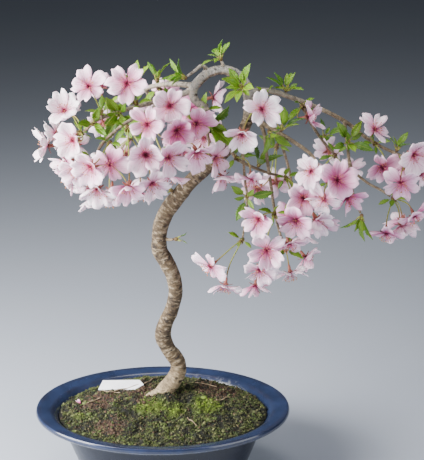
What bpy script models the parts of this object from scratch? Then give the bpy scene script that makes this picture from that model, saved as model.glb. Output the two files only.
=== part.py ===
"""Weeping cherry bonsai in an oval glazed pot.

The origin is the centre of the pot's flat foot, +Z is up, +X runs along the pot to the right of the
front view, and the front faces -Y. Lengths in the tables are millimetres.
"""

import math
import random
from collections import namedtuple

import bmesh
import bpy
import numpy as np
from mathutils import Matrix, Vector, noise

MM = 0.001
GAP = 0.3
SEED = 11

# Pot
POT_HALF_LENGTH = 105.0
POT_HALF_WIDTH = 82.0
POT_OVAL = POT_HALF_WIDTH / POT_HALF_LENGTH
POT_SEGMENTS = 36
POT_OUTSIDE = [(64, 0), (66, 2), (70, 14), (75, 27), (80, 40), (86, 53.5), (96, 55.5), (103, 58)]
POT_ROLL = [(105, 60), (104.6, 62.4), (102.6, 63)]
POT_INSIDE = [(91.5, 61), (88, 58), (83.6, 52), (79, 44), (73, 30), (66, 14), (60, 8)]
DRAIN_HOLE_RADIUS = 7.0
DRAIN_HOLE_OFFSET = 32.0

# Mesh screens over the drain holes
SCREEN_SIDE = 22.0
SCREEN_THICK = 1.2
SCREEN_BAR = 3.0

# Soil: its edge follows the pot's inner wall, and its top is a low mound of moss, higher at the back
SOIL_SIDE = [(59.4, 8.4), (65.5, 14), (72.5, 30), (78.5, 44), (82.7, 51.6), (86.3, 56.6)]
SOIL_EDGE_HEIGHT = 57.2
SOIL_MOUND = 9.5
SOIL_LEAN = 12.5
SOIL_RINGS = [0.9, 0.76, 0.6, 0.44, 0.28, 0.14]
MOSS_RELIEF = 2.2
MOSS_GRAIN = 0.085

# Plant label lying on the mound
LABEL_LENGTH = 40.0
LABEL_WIDTH = 12.5
LABEL_THICK = 0.9
LABEL_POINT = 6.0
LABEL_CENTRE = (-35.6, 29.0, 68.4)
LABEL_TILT = (16.0, -8.5, -18.0)

# Trunk: the centre line from the foot in the soil to the end of the looped top, with its radii
TRUNK = [
    (-4.5, 11, 50, 7.3), (-2.5, 12, 62, 7.5), (1, 13, 70, 7.4), (7, 14, 77.5, 7.0), (11.5, 15, 85, 6.7),
    (12.5, 15.5, 92.5, 6.5),
    (10, 15, 100, 6.5), (4, 14, 109, 6.3), (0, 12, 121, 6.4), (3, 11, 134, 6.1), (8, 9, 145, 5.7),
    (11, 8, 159, 5.7), (9.5, 7, 174, 6.0), (4, 6, 187, 6.4), (-1.5, 6, 197, 6.2), (-1.5, 6, 208, 6.1),
    (0, 6, 218, 6.2), (5, 6, 230, 6.4), (13, 6, 241, 6.3), (23, 6, 253, 5.9), (33, 6, 263, 5.6),
    (44, 5, 272, 5.1), (56, 4, 284, 4.7), (66, 3, 298, 4.5), (70, 2, 314, 4.5), (68, 1, 329, 4.3),
    (61, 0, 340, 4.0), (50, 0, 345, 3.8), (39, -1, 343, 3.6), (31, -2, 337, 3.7), (26, -4, 330, 3.5),
    (28, -6, 322, 3.2), (37, -8, 317, 2.6),
]
TOE_ROOT = [(1, 12, 71, 4.6), (-5, 10.5, 70, 3.4), (-11, 9.5, 68, 2.5), (-16, 9, 65, 1.6)]
TRUNK_SIDES = 8

# Branches and twigs: points (x, y, z), then the first and the last radius
TWIGS = {
    "left_top": ([(26, -2, 333), (13, 4, 333), (0, 10, 331), (-11, 16, 327), (-24, 22, 320), (-39, 28, 312),
                  (-52, 32, 301), (-62, 34, 288)], 2.2, 1.1),
    "left_middle": ([(26, -4, 330), (15, -6, 326), (1, -8, 323), (-14, -10, 319), (-31, -14, 315),
                     (-46, -18, 310), (-57, -20, 301)], 2.4, 1.1),
    "left_front": ([(8, -7, 325), (0, -22, 323), (-12, -36, 318), (-26, -46, 312), (-40, -50, 300),
                    (-47, -50, 288)], 1.7, 1.0),
    "left_inner": ([(37, -8, 317), (30, -14, 312), (21, -22, 304), (10, -30, 295), (1, -34, 284)], 1.8, 1.0),
    "left_back": ([(-11, 16, 327), (-9, 34, 311), (-18, 44, 292), (-31, 48, 274), (-41, 48, 259)], 1.6, 1.0),
    "middle_hanging": ([(31, -7, 320), (35, -13, 305), (39, -16, 290), (38, -17, 280)], 1.4, 1.0),
    "top_left_spur": ([(38, 0, 344), (33, -4, 349), (28, -8, 346), (22, -10, 342)], 1.4, 1.0),
    "top_spur": ([(48, 0, 345), (49, -2, 349), (48, -3, 352)], 1.4, 1.1),
    "right_top": ([(69, 1, 327), (80, 8, 327), (92, 14, 324), (104, 18, 319), (125, 22, 310), (146, 24, 299),
                   (160, 24, 288), (173, 22, 280), (187, 18, 274), (196, 14, 271)], 2.4, 1.0),
    "right_middle": ([(70, 2, 314), (79, -6, 305), (89, -12, 300), (104, -18, 292), (116, -22, 284),
                      (123, -24, 274), (129, -24, 264)], 2.0, 1.0),
    "right_hanging": ([(76, -4, 308), (81, -10, 297), (83, -12, 280), (86, -12, 260), (89, -12, 240),
                       (93, -12, 221), (98, -12, 206)], 1.6, 0.9),
    "thin_hanging": ([(67, 0, 306), (63, -14, 293), (65, -18, 278), (66, -20, 263), (68, -20, 249),
                      (67, -14, 230), (65, -10, 213)], 1.2, 0.8),
    "right_low": ([(60, 4, 288), (56, -4, 282), (62, -8, 275), (74, -8, 269), (86, -6, 264), (96, -4, 261)],
                  1.5, 1.0),
    "right_front": ([(146, 24, 299), (147, 16, 287), (149, 8, 271), (150, 2, 257), (153, -2, 243),
                     (158, -4, 231)], 1.4, 0.9),
    "far_right": ([(149, 8, 271), (153, 8, 262), (164, 6, 253), (174, 4, 248), (182, 2, 243)], 1.2, 0.9),
    "right_back": ([(110, 19, 317), (119, 34, 297), (130, 42, 279), (140, 46, 267)], 1.4, 1.0),
    "right_back_low": ([(80, 7, 326), (88, 26, 300), (98, 42, 273), (105, 50, 248), (108, 50, 228)],
                       1.5, 0.9),
    "leaf_stub": ([(0, 6, 208), (6, 2, 207), (10, 0, 208)], 1.3, 0.9),
}
TWIG_SIDES = 6

# Sprays: the twig and the share of its length where the bud sits, then each blossom as
# (x, y, z) and the way it faces as (turn to the right of the front, lift), in degrees
SPRAYS = {
    "left_01": ("left_middle", 1.0, [
        (-68, -32, 321, -25, 25),
        (-62, -60, 303, -25, 5),
        (-82, -26, 291, -75, 0),
    ]),
    "left_02": ("left_middle", 0.8, [
        (-51, -30, 336, -10, 35),
    ]),
    "left_03": ("left_middle", 0.5, [
        (-22, -38, 342, 5, 30),
    ]),
    "left_04": ("left_front", 1.0, [
        (-71, -42, 282, -60, -25),
        (-57, -66, 284, -35, -20),
        (-66, -30, 262, -60, -55),
        (-43, -60, 268, -10, -55),
    ]),
    "left_05": ("left_front", 0.8, [
        (-46, -82, 291, -20, -5),
        (-33, -66, 287, 0, -10),
        (-50, -36, 256, -20, -75),
    ]),
    "left_06": ("left_front", 0.6, [
        (-7, -86, 300, 8, 5),
        (-20, -80, 274, 0, -30),
    ]),
    "left_07": ("left_front", 0.38, [
        (-6, -66, 318, 0, 15),
        (8, -66, 294, 25, -10),
        (-14, -52, 262, 5, -65),
        (-6, -68, 276, 12, -30),
    ]),
    "left_08": ("left_front", 0.14, [
        (10, -52, 328, 12, 20),
        (13, -50, 310, 20, -5),
    ]),
    "left_09": ("left_inner", 0.35, [
        (29, -44, 308, 18, -8),
    ]),
    "left_10": ("left_inner", 0.9, [
        (17, -32, 290, 10, -20),
        (9, -42, 272, -5, -70),
        (29, -48, 293, 25, -30),
    ]),
    "left_11": ("left_back", 1.0, [
        (-42, 20, 235, 0, -75),
        (-61, 40, 239, -60, -55),
        (-27, 48, 236, 120, -65),
        (-38, -6, 250, -5, -60),
    ]),
    "left_12": ("left_back", 0.72, [
        (-54, 74, 252, -150, -25),
        (-33, 86, 256, 180, -15),
        (-12, 74, 254, 150, -30),
    ]),
    "left_13": ("left_back", 0.4, [
        (-11, 76, 288, 175, 15),
        (5, 58, 276, 140, -20),
    ]),
    "left_14": ("left_top", 1.0, [
        (-86, 42, 284, -95, -10),
        (-74, 66, 268, -140, -25),
        (-78, 60, 299, -130, 20),
    ]),
    "left_15": ("left_top", 0.74, [
        (-50, 52, 320, -160, 45),
        (-32, 62, 316, 170, 35),
        (-50, 80, 284, -170, 5),
    ]),
    "left_16": ("left_top", 0.3, [
        (2, 46, 314, 175, 30),
        (20, 38, 306, 160, 5),
        (38, 34, 292, 140, -15),
    ]),
    "left_17": ("middle_hanging", 1.0, [
        (45, -34, 284, 30, -15),
        (49, -28, 268, 25, -50),
        (36, 2, 290, -20, -30),
    ]),
    "left_18": ("left_inner", 0.05, [
        (42, 24, 318, 100, 10),
    ]),
    "right_01": ("right_top", 0.1, [
        (78, -36, 322, 4, 15),
        (63, -38, 303, -10, -20),
    ]),
    "right_02": ("right_top", 0.33, [
        (116, 6, 306, 80, 5),
    ]),
    "right_03": ("right_top", 0.8, [
        (168, 4, 297, 25, 45),
        (175, -6, 270, -15, -25),
    ]),
    "right_04": ("right_top", 1.0, [
        (196, -8, 279, 25, 0),
        (186, -26, 262, -5, -15),
        (208, 18, 257, 65, -10),
        (197, 48, 256, 160, -15),
    ]),
    "right_05": ("far_right", 1.0, [
        (176, -8, 216, -10, -65),
        (192, 10, 216, 20, -75),
        (200, -10, 230, 40, -55),
        (198, 36, 212, 150, -60),
    ]),
    "right_06": ("right_middle", 1.0, [
        (134, -54, 272, 5, 8),
        (115, -50, 278, -25, 20),
        (125, -48, 254, -5, -30),
        (144, -28, 250, 45, -30),
    ]),
    "right_07": ("right_back", 1.0, [
        (138, 66, 264, 180, 10),
        (155, 70, 246, 150, -15),
        (124, 68, 244, -160, -15),
    ]),
    "right_08": ("right_low", 1.0, [
        (111, -40, 256, 5, -5),
        (105, -44, 238, -5, -15),
        (122, -24, 232, 25, -40),
    ]),
    "right_09": ("right_back_low", 1.0, [
        (114, 20, 204, 10, -55),
        (131, 34, 210, 50, -45),
        (108, 74, 206, 175, -35),
        (128, 76, 218, 150, -20),
    ]),
    "right_10": ("right_hanging", 0.72, [
        (78, -42, 238, -15, 0),
        (83, -44, 214, 0, -15),
        (100, -28, 214, 25, -50),
    ]),
    "right_11": ("right_hanging", 1.0, [
        (78, -26, 191, -10, -30),
        (76, 2, 168, 0, -75),
        (103, -8, 182, 20, -65),
        (116, 8, 190, 55, -45),
    ]),
    "right_12": ("thin_hanging", 1.0, [
        (39, -26, 194, -70, -35),
        (51, -20, 176, -30, -70),
    ]),
    "right_13": ("right_low", 0.3, [
        (69, -40, 268, 10, -60),
    ]),
    "right_14": ("right_back_low", 0.55, [
        (94, 70, 236, 175, -20),
        (78, 52, 236, -140, -25),
    ]),
}
BLOOM_RADIUS = 14.6
BLOOM_VARIATION = 0.06
LARGE_BLOOM_RADIUS = 16.5
LARGE_BLOOMS = {("left_03", 0), ("left_06", 0), ("right_01", 0), ("right_06", 0)}
# One petal's outline, from the gap before it round its notched tip: (degrees off its middle,
# share of the radius)
PETAL_OUTLINE = [(-36, 0.24), (-27, 0.93), (0, 0.9), (27, 0.93)]
PETALS = 5
BLOOM_CUP = 0.2
BLOOM_HEART = 0.3
BLOOM_DEPTH = 1.7
PEDICEL_RADIUS = 0.55
CALYX_RADIUS = 1.7
CALYX_LENGTH = 7.0

# Leafy shoots: the twig and the share of its length, the way the tuft points, how far the
# leaves spread from it in degrees, how many leaves, and their length
SHOOTS = {
    "shoot_01": ("left_top", 0.46, (-0.25, -0.2, 1.0), 46, 5, 17),
    "shoot_02": ("left_top", 0.28, (-0.1, 0.4, 1.0), 40, 3, 12),
    "shoot_03": ("top_left_spur", 1.0, (-1.0, -0.3, 0.25), 55, 5, 15),
    "shoot_04": ("top_spur", 1.0, (-0.3, -0.1, 0.8), 80, 5, 12),
    "shoot_05": ("trunk", 0.825, (-0.5, -0.8, 0.5), 60, 6, 16),
    "shoot_06": ("right_top", 0.22, (0.1, -0.3, 1.0), 70, 6, 14),
    "shoot_07": ("right_middle", 0.38, (0.2, -0.2, 1.0), 62, 5, 15),
    "shoot_08": ("right_middle", 0.30, (0.5, -1.0, -0.7), 45, 3, 14),
    "shoot_09": ("right_back", 0.70, (0.3, -0.6, 0.7), 50, 3, 12),
    "shoot_10": ("right_front", 0.24, (0.2, -1.0, 0.2), 75, 5, 15),
    "shoot_11": ("right_front", 1.0, (-0.2, -0.2, -1.0), 52, 6, 15),
    "shoot_12": ("right_top", 0.93, (0.2, -0.2, 1.0), 50, 3, 12),
    "shoot_13": ("right_low", 0.62, (0.5, -0.4, 1.0), 50, 3, 14),
    "shoot_14": ("left_middle", 0.90, (0.2, -1.0, 0.3), 40, 3, 15),
    "shoot_15": ("left_middle", 0.66, (-0.1, -1.0, -0.25), 62, 6, 18),
    "shoot_16": ("trunk", 0.535, (-1.0, -0.5, 0.6), 45, 3, 8),
    "shoot_17": ("leaf_stub", 1.0, (1.0, -0.3, 0.2), 25, 2, 6),
    "shoot_18": ("thin_hanging", 0.62, (0.0, -0.5, -0.15), 82, 3, 16),
    "shoot_19": ("middle_hanging", 0.4, (0.8, -0.9, 0.0), 38, 3, 24),
}
BUD_RADIUS = 2.1
PETIOLE_LENGTH = 5.0
PETIOLE_RADIUS = 0.55
LEAF_WIDTH = 0.46
LEAF_THICK = 1.1
# Half of a leaf's saw-edged outline: (share of the length, share of the half width)
LEAF_OUTLINE = [(0.06, 0.25), (0.32, 1.0), (0.40, 0.80), (0.60, 0.88), (0.67, 0.58)]
LEAF_RIB = 0.3
LEAF_FOLD = 0.22
SPRAY_MARGIN = 5.6
WOOD_MARGIN = 2.8
SETTLE_STEPS = 90

COLOURS = {
    "glaze": ((0.045, 0.085, 0.22), 0.18),
    "soil": ((0.12, 0.13, 0.045), 0.95),
    "bark": ((0.30, 0.26, 0.20), 0.85),
    "label": ((0.86, 0.87, 0.88), 0.45),
    "screen": ((0.05, 0.05, 0.05), 0.7),
    "blossom": ((0.88, 0.66, 0.74), 0.7),
    "leaf": ((0.30, 0.46, 0.08), 0.6),
}

Bloom = namedtuple("Bloom", "spray centre axis radius spin")
Leaf = namedtuple("Leaf", "spray base along normal length")


def clear_scene():
    """Remove every object, so that the part is alone."""
    for old in list(bpy.data.objects):
        bpy.data.objects.remove(old, do_unlink=True)


def collection(name):
    """Make a collection in the scene."""
    group = bpy.data.collections.new(name)
    bpy.context.scene.collection.children.link(group)
    return group


def material(name):
    """Make one of the part's plain finishes."""
    colour, roughness = COLOURS[name]
    made = bpy.data.materials.new(name)
    made.use_nodes = True
    shader = made.node_tree.nodes["Principled BSDF"]
    shader.inputs["Base Color"].default_value = (*colour, 1.0)
    shader.inputs["Roughness"].default_value = roughness
    shader.inputs["Metallic"].default_value = 0.0
    return made


def mesh_object(name, mesh, group):
    """Put a mesh in the scene as an object of a collection."""
    made = bpy.data.objects.new(name, mesh)
    group.objects.link(made)
    return made


def from_bmesh(name, work, group):
    """Turn a bmesh in millimetres into an object in metres."""
    bmesh.ops.scale(work, vec=(MM, MM, MM), verts=work.verts)
    bmesh.ops.recalc_face_normals(work, faces=work.faces)
    mesh = bpy.data.meshes.new(name)
    work.to_mesh(mesh)
    work.free()
    return mesh_object(name, mesh, group)


def smooth_route(points, per_span):
    """Points along a smooth curve through a route, its radii with it."""
    rows = [np.array(p, dtype=float) for p in points]
    rows = [2 * rows[0] - rows[1]] + rows + [2 * rows[-1] - rows[-2]]
    out = []
    for a, b, c, d in zip(rows, rows[1:], rows[2:], rows[3:]):
        for step in range(per_span):
            t = step / per_span
            out.append(0.5 * (2 * b + (c - a) * t + (2 * a - 5 * b + 4 * c - d) * t * t
                              + (3 * b - a - 3 * c + d) * t ** 3))
    out.append(rows[-2])
    return out


def twig_route(name):
    """The route of a twig or of the trunk, with a radius at each point."""
    if name == "trunk":
        return [np.array(row, dtype=float) for row in TRUNK]
    points, first, last = TWIGS[name]
    count = len(points) - 1
    return [np.array((*p, first + (last - first) * i / count)) for i, p in enumerate(points)]


def along_route(name, share):
    """The place, direction and radius at a share of a twig's length."""
    route = twig_route(name)
    lengths = [np.linalg.norm(b[:3] - a[:3]) for a, b in zip(route, route[1:])]
    left = share * sum(lengths)
    for a, b, length in zip(route, route[1:], lengths):
        if left <= length or b is route[-1]:
            row = a + (b - a) * min(1.0, left / length)
            return row[:3], (b[:3] - a[:3]) / length, row[3]
        left -= length


def unit(vector):
    """The vector at length one."""
    return vector / np.linalg.norm(vector)


def facing(turn, lift):
    """The direction that a blossom faces, from its turn off the front and its lift, in degrees."""
    turn, lift = math.radians(turn), math.radians(lift)
    return np.array((math.sin(turn) * math.cos(lift), -math.cos(turn) * math.cos(lift), math.sin(lift)))


def bud_place(twig, share, wish):
    """The centre of a bud that sits on a twig, on the side that is wished for."""
    place, along, radius = along_route(twig, share)
    if share == 1.0:
        return place + along * (BUD_RADIUS + GAP)
    side = wish - along * wish.dot(along)
    return place + unit(side) * (radius + BUD_RADIUS + GAP)


def petal_frame(axis, spin):
    """Two directions across a blossom's axis, turned by its spin."""
    helper = np.array((0.0, 0.0, 1.0)) if abs(axis[2]) < 0.9 else np.array((0.0, 1.0, 0.0))
    side = unit(np.cross(helper, axis))
    over = np.cross(axis, side)
    return side * math.cos(spin) + over * math.sin(spin), over * math.cos(spin) - side * math.sin(spin)


def sample_points(axis, radius, spin):
    """Points over a blossom's petals, from its centre, that it keeps clear of its neighbours with."""
    side, over = petal_frame(axis, spin)
    points = [np.zeros(3)]
    for petal in range(PETALS):
        for angle, share in ((0, 0.45), (-16, 0.75), (16, 0.75), (-10, 0.98), (10, 0.98)):
            turn = math.radians(360 / PETALS * petal + angle)
            reach = radius * share
            lift = BLOOM_CUP * radius * share * share
            points.append((side * math.cos(turn) + over * math.sin(turn)) * reach + axis * lift)
    return np.array(points)


def pedicel_points(bud, bloom):
    """A blossom's stalk: from its bud to its calyx, bending into the line of the blossom."""
    calyx = bloom.centre - bloom.axis * CALYX_LENGTH
    reach = 0.4 * np.linalg.norm(calyx - bud)
    outward = unit(calyx - bud + np.array((0.0, 0.0, 0.35)) * reach)
    first, second = bud + outward * reach, calyx - bloom.axis * reach
    middle = (bud + 3 * first + 3 * second + calyx) / 8
    return [bud, middle, calyx]


def shoot_leaves(name, bud, wish, spread, count, length, rng):
    """The leaves of one tuft, fanned out round the way it points."""
    wish = unit(np.array(wish, dtype=float))
    side, over = petal_frame(wish, rng.uniform(0, math.tau))
    leaves = []
    for index in range(count):
        turn = math.tau * index / count + rng.uniform(-0.25, 0.25)
        lean = math.radians(spread) * (0.25 if index == 0 and count > 3 else rng.uniform(0.75, 1.0))
        outward = side * math.cos(turn) + over * math.sin(turn)
        along = unit(wish * math.cos(lean) + outward * math.sin(lean))
        normal = unit(outward * -math.cos(lean) + wish * math.sin(lean) + np.array((0.0, 0.0, 0.3)))
        normal = unit(normal - along * normal.dot(along))
        base = bud + along * PETIOLE_LENGTH
        leaves.append(Leaf(name, base, along, normal, length * rng.uniform(0.8, 1.15)))
    return leaves


def settle(blooms, buds, leaves):
    """Ease blossoms of different sprays apart, and off the leaves and the wood, where they crowd."""
    names = sorted(buds)
    offsets = np.array([sample_points(b.axis, b.radius, b.spin) for b in blooms])
    group = np.array([names.index(b.spray) for b in blooms])
    start = np.array([b.centre for b in blooms])
    centres = start.copy()
    wood = []
    for twig in ["trunk", *TWIGS]:
        wood += smooth_route(twig_route(twig), 3)
    wood = np.array(wood)
    leaf_points = np.array([f.base + f.along * f.length * s for f in leaves for s in (-0.1, 0.25, 0.6, 0.95)])
    leaf_group = np.array([names.index(f.spray) for f in leaves for s in range(4)])
    per = offsets.shape[1]
    for _ in range(SETTLE_STEPS):
        petals = (centres[:, None] + offsets).reshape(-1, 3)
        stalks, stalk_group = [], []
        for bloom, centre in zip(blooms, centres):
            points = pedicel_points(buds[bloom.spray], bloom._replace(centre=centre))
            for a, b, t in ((0, 1, 0.5), (0, 1, 1.0), (1, 2, 0.5), (1, 2, 1.0)):
                stalks.append(points[a] + (points[b] - points[a]) * t)
                stalk_group.append(names.index(bloom.spray))
        others = np.concatenate([petals, np.array(stalks), leaf_points, wood[:, :3]])
        owner = np.concatenate([np.repeat(group, per), stalk_group, leaf_group, np.full(len(wood), -1)])
        margin = np.concatenate([np.full(len(others) - len(wood), SPRAY_MARGIN), wood[:, 3] + WOOD_MARGIN])
        push = np.zeros_like(centres)
        for index, bloom in enumerate(blooms):
            mine = petals[index * per:(index + 1) * per]
            near = np.abs(others - centres[index]).max(axis=1) < bloom.radius * 1.1 + margin
            near &= owner != group[index]
            apart = mine[:, None] - others[near][None]
            distance = np.sqrt((apart ** 2).sum(axis=2)) + 1e-9
            short = np.maximum(0.0, margin[near][None] - distance)
            count = (short > 0).sum()
            if count:
                total = (apart / distance[..., None] * short[..., None]).sum(axis=(0, 1))
                push[index] = total / count * 1.6
        centres += push + (start - centres) * 0.02
    return [b._replace(centre=np.round(c, 2)) for b, c in zip(blooms, centres)]


def grow():
    """Work out where every bud, blossom and leaf is."""
    rng = random.Random(SEED)
    buds, blooms, leaves = {}, [], []
    for name, (twig, share, rows) in SPRAYS.items():
        wish = np.mean([np.array(row[:3], dtype=float) for row in rows], axis=0) - along_route(twig, share)[0]
        buds[name] = bud_place(twig, share, wish)
        for index, (x, y, z, turn, lift) in enumerate(rows):
            radius = BLOOM_RADIUS * (1 + rng.uniform(-BLOOM_VARIATION, BLOOM_VARIATION))
            if (name, index) in LARGE_BLOOMS:
                radius = LARGE_BLOOM_RADIUS
            centre = np.array((x, y, z), dtype=float)
            blooms.append(Bloom(name, centre, facing(turn, lift), radius, rng.uniform(0, math.tau / PETALS)))
    for name, (twig, share, wish, spread, count, length) in SHOOTS.items():
        buds[name] = bud_place(twig, share, np.array(wish, dtype=float))
        leaves += shoot_leaves(name, buds[name], wish, spread, count, length, rng)
    return buds, settle(blooms, buds, leaves), leaves


def tube(name, rows, sides, group):
    """A round-ended run of wood or stalk, as a closed mesh: rows are (x, y, z, radius)."""
    curve = bpy.data.curves.new(name, "CURVE")
    curve.dimensions = "3D"
    curve.bevel_depth = MM
    curve.bevel_resolution = (sides - 4) // 2
    curve.use_fill_caps = True
    spline = curve.splines.new("POLY")
    spline.points.add(len(rows) - 1)
    for point, row in zip(spline.points, rows):
        point.co = (row[0] * MM, row[1] * MM, row[2] * MM, 1.0)
        point.radius = row[3]
    guide = mesh_object(name + "_guide", curve, group)
    bpy.context.view_layer.update()
    mesh = bpy.data.meshes.new_from_object(guide.evaluated_get(bpy.context.evaluated_depsgraph_get()))
    made = mesh_object(name, mesh, group)
    made.matrix_world = guide.matrix_world
    bpy.data.objects.remove(guide, do_unlink=True)
    work = bmesh.new()
    work.from_mesh(mesh)
    bmesh.ops.remove_doubles(work, verts=work.verts, dist=0.00001)
    bmesh.ops.recalc_face_normals(work, faces=work.faces)
    work.to_mesh(mesh)
    work.free()
    return made


def ring(work, centre, along, side, radius, sides):
    """A ring of a stalk's points round its line; it returns the way its first point lies, too."""
    side = unit(side - along * side.dot(along))
    over = np.cross(along, side)
    turns = [math.tau * i / sides for i in range(sides)]
    points = [centre + (side * math.cos(t) + over * math.sin(t)) * radius for t in turns]
    return [work.verts.new(p) for p in points], side


def bridge(work, first, second):
    """Join two rings of as many points with a wall."""
    for a, b, c, d in zip(first, first[1:] + first[:1], second[1:] + second[:1], second):
        work.faces.new((a, b, c, d))


def bloom_object(bloom, bud, name, group):
    """One open blossom on its stalk: five petals with notched tips, one thin cupped blade, on a calyx."""
    side, over = petal_frame(bloom.axis, bloom.spin)
    work = bmesh.new()
    rim = []
    for petal in range(PETALS):
        for angle, share in PETAL_OUTLINE:
            turn = math.radians(360 / PETALS * petal + angle)
            lift = BLOOM_CUP * bloom.radius * share * share
            outward = side * math.cos(turn) + over * math.sin(turn)
            rim.append(work.verts.new(bloom.centre + outward * bloom.radius * share + bloom.axis * lift))
    heart = work.verts.new(bloom.centre + bloom.axis * BLOOM_HEART)
    calyx_top = bloom.centre - bloom.axis * BLOOM_DEPTH
    route = pedicel_points(bud, bloom)[::-1]
    rings = [ring(work, calyx_top, -bloom.axis, side, CALYX_RADIUS, PETALS)]
    for before, here, after in zip([calyx_top] + route, route, route[1:] + [bud]):
        along = unit(after - before)
        rings.append(ring(work, here, along, rings[-1][1], PEDICEL_RADIUS, PETALS))
    corners = len(PETAL_OUTLINE)
    top = rings[0][0][:1] + rings[0][0][:0:-1]
    for index, vert in enumerate(rim):
        after = rim[(index + 1) % len(rim)]
        holder = top[index // corners]
        work.faces.new((vert, after, heart))
        work.faces.new((after, vert, holder))
        if (index + 1) % corners == 0:
            work.faces.new((after, holder, top[(index // corners + 1) % PETALS]))
    for first, second in zip(rings, rings[1:]):
        bridge(work, first[0], second[0])
    work.faces.new(rings[-1][0])
    return from_bmesh(name, work, group)


def leaf_object(leaf, bud, name, group):
    """One pointed leaf with a saw edge, folded up along its rib, on its petiole."""
    across = np.cross(leaf.normal, leaf.along)
    width = LEAF_WIDTH * leaf.length / 2
    work = bmesh.new()

    def edge_point(share, offset):
        place = leaf.base + leaf.along * leaf.length * share + across * offset
        return work.verts.new(place + leaf.normal * abs(offset) * LEAF_FOLD)

    left = [edge_point(share, width * wide) for share, wide in LEAF_OUTLINE]
    right = [edge_point(share, -width * wide) for share, wide in LEAF_OUTLINE]
    rim = left + [edge_point(1.0, 0.0)] + right[::-1]
    rib = leaf.base + leaf.along * leaf.length * LEAF_RIB
    over = work.verts.new(rib + leaf.normal * LEAF_THICK / 2)
    under = work.verts.new(rib - leaf.normal * LEAF_THICK / 2)
    for a, b in zip(rim, rim[1:]):
        work.faces.new((a, b, over))
        work.faces.new((b, a, under))
    stalk, _ = ring(work, bud, leaf.along, across, PETIOLE_RADIUS, 4)
    bridge(work, stalk, [left[0], over, right[0], under])
    work.faces.new(stalk)
    return from_bmesh(name, work, group)


def bud_object(centre, name, group):
    """The bud that a spray or a shoot grows from."""
    work = bmesh.new()
    bmesh.ops.create_icosphere(work, subdivisions=1, radius=BUD_RADIUS,
                               matrix=Matrix.Translation(Vector(centre)))
    return from_bmesh(name, work, group)


def fuse(first, others, finish):
    """Join one object with all that a collection holds, as one solid, and empty the collection."""
    union = first.modifiers.new("Union", "BOOLEAN")
    union.operation = "UNION"
    union.solver = "MANIFOLD"
    union.operand_type = "COLLECTION"
    union.collection = others
    bpy.context.view_layer.update()
    mesh = bpy.data.meshes.new_from_object(first.evaluated_get(bpy.context.evaluated_depsgraph_get()))
    first.modifiers.clear()
    first.data = mesh
    first.data.materials.clear()
    first.data.materials.append(finish)
    for used in list(others.objects):
        bpy.data.objects.remove(used, do_unlink=True)


def cut(target, cutter):
    """Cut one object with another, which stays in the scene as a hidden guide."""
    cutter.hide_render = True
    cutter.display_type = "WIRE"
    difference = target.modifiers.new("Cut " + cutter.name, "BOOLEAN")
    difference.operation = "DIFFERENCE"
    difference.object = cutter


def turned(name, profile, group, segments):
    """A closed profile turned about Z and drawn in to the pot's oval."""
    work = bmesh.new()
    ring = [work.verts.new((x, 0.0, z)) for x, z in profile]
    for a, b in zip(ring, ring[1:]):
        work.edges.new((a, b))
    made = from_bmesh(name, work, group)
    screw = made.modifiers.new("Turn", "SCREW")
    screw.steps = segments
    screw.render_steps = segments
    screw.use_merge_vertices = True
    screw.merge_threshold = 0.00005
    screw.use_normal_calculate = True
    bpy.context.view_layer.update()
    mesh = bpy.data.meshes.new_from_object(made.evaluated_get(bpy.context.evaluated_depsgraph_get()))
    mesh.transform(Matrix.Diagonal((1.0, POT_OVAL, 1.0, 1.0)))
    made.modifiers.clear()
    made.data = mesh
    work = bmesh.new()
    work.from_mesh(mesh)
    bmesh.ops.remove_doubles(work, verts=work.verts, dist=0.00001)
    bmesh.ops.recalc_face_normals(work, faces=work.faces)
    work.to_mesh(mesh)
    work.free()
    return made


def build_pot(group, cutters):
    """The glazed oval pot, with two drain holes through its floor."""
    profile = [(0, 0)] + POT_OUTSIDE + POT_ROLL + POT_INSIDE + [(0, POT_INSIDE[-1][1])]
    pot = turned("pot", profile, group, POT_SEGMENTS)
    pot.data.materials.append(material("glaze"))
    for side, word in ((-1, "left"), (1, "right")):
        work = bmesh.new()
        bmesh.ops.create_cone(work, cap_ends=True, segments=14, radius1=DRAIN_HOLE_RADIUS,
                              radius2=DRAIN_HOLE_RADIUS, depth=30.0,
                              matrix=Matrix.Translation((side * DRAIN_HOLE_OFFSET, 0.0, 0.0)))
        cut(pot, from_bmesh("drain_hole_" + word, work, cutters))
    return pot


def build_screens(group):
    """The two mesh squares that keep the soil from running out of the drain holes."""
    finish = material("screen")
    floor = POT_INSIDE[-1][1]
    for side, word in ((-1, "left"), (1, "right")):
        work = bmesh.new()
        bmesh.ops.create_grid(work, x_segments=2, y_segments=2, size=SCREEN_SIDE / 2)
        inset = bmesh.ops.inset_individual(work, faces=work.faces[:], thickness=SCREEN_BAR / 2,
                                           use_even_offset=True)
        rims = set(inset["faces"])
        bmesh.ops.delete(work, geom=[f for f in work.faces if f not in rims], context="FACES")
        solid = bmesh.ops.extrude_face_region(work, geom=work.faces[:])
        lifted = [v for v in solid["geom"] if isinstance(v, bmesh.types.BMVert)]
        bmesh.ops.translate(work, verts=lifted, vec=(0.0, 0.0, SCREEN_THICK))
        bmesh.ops.translate(work, verts=work.verts, vec=(side * DRAIN_HOLE_OFFSET, 0.0, floor + GAP))
        screen = from_bmesh("drain_screen_" + word, work, group)
        screen.data.materials.append(finish)


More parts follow.
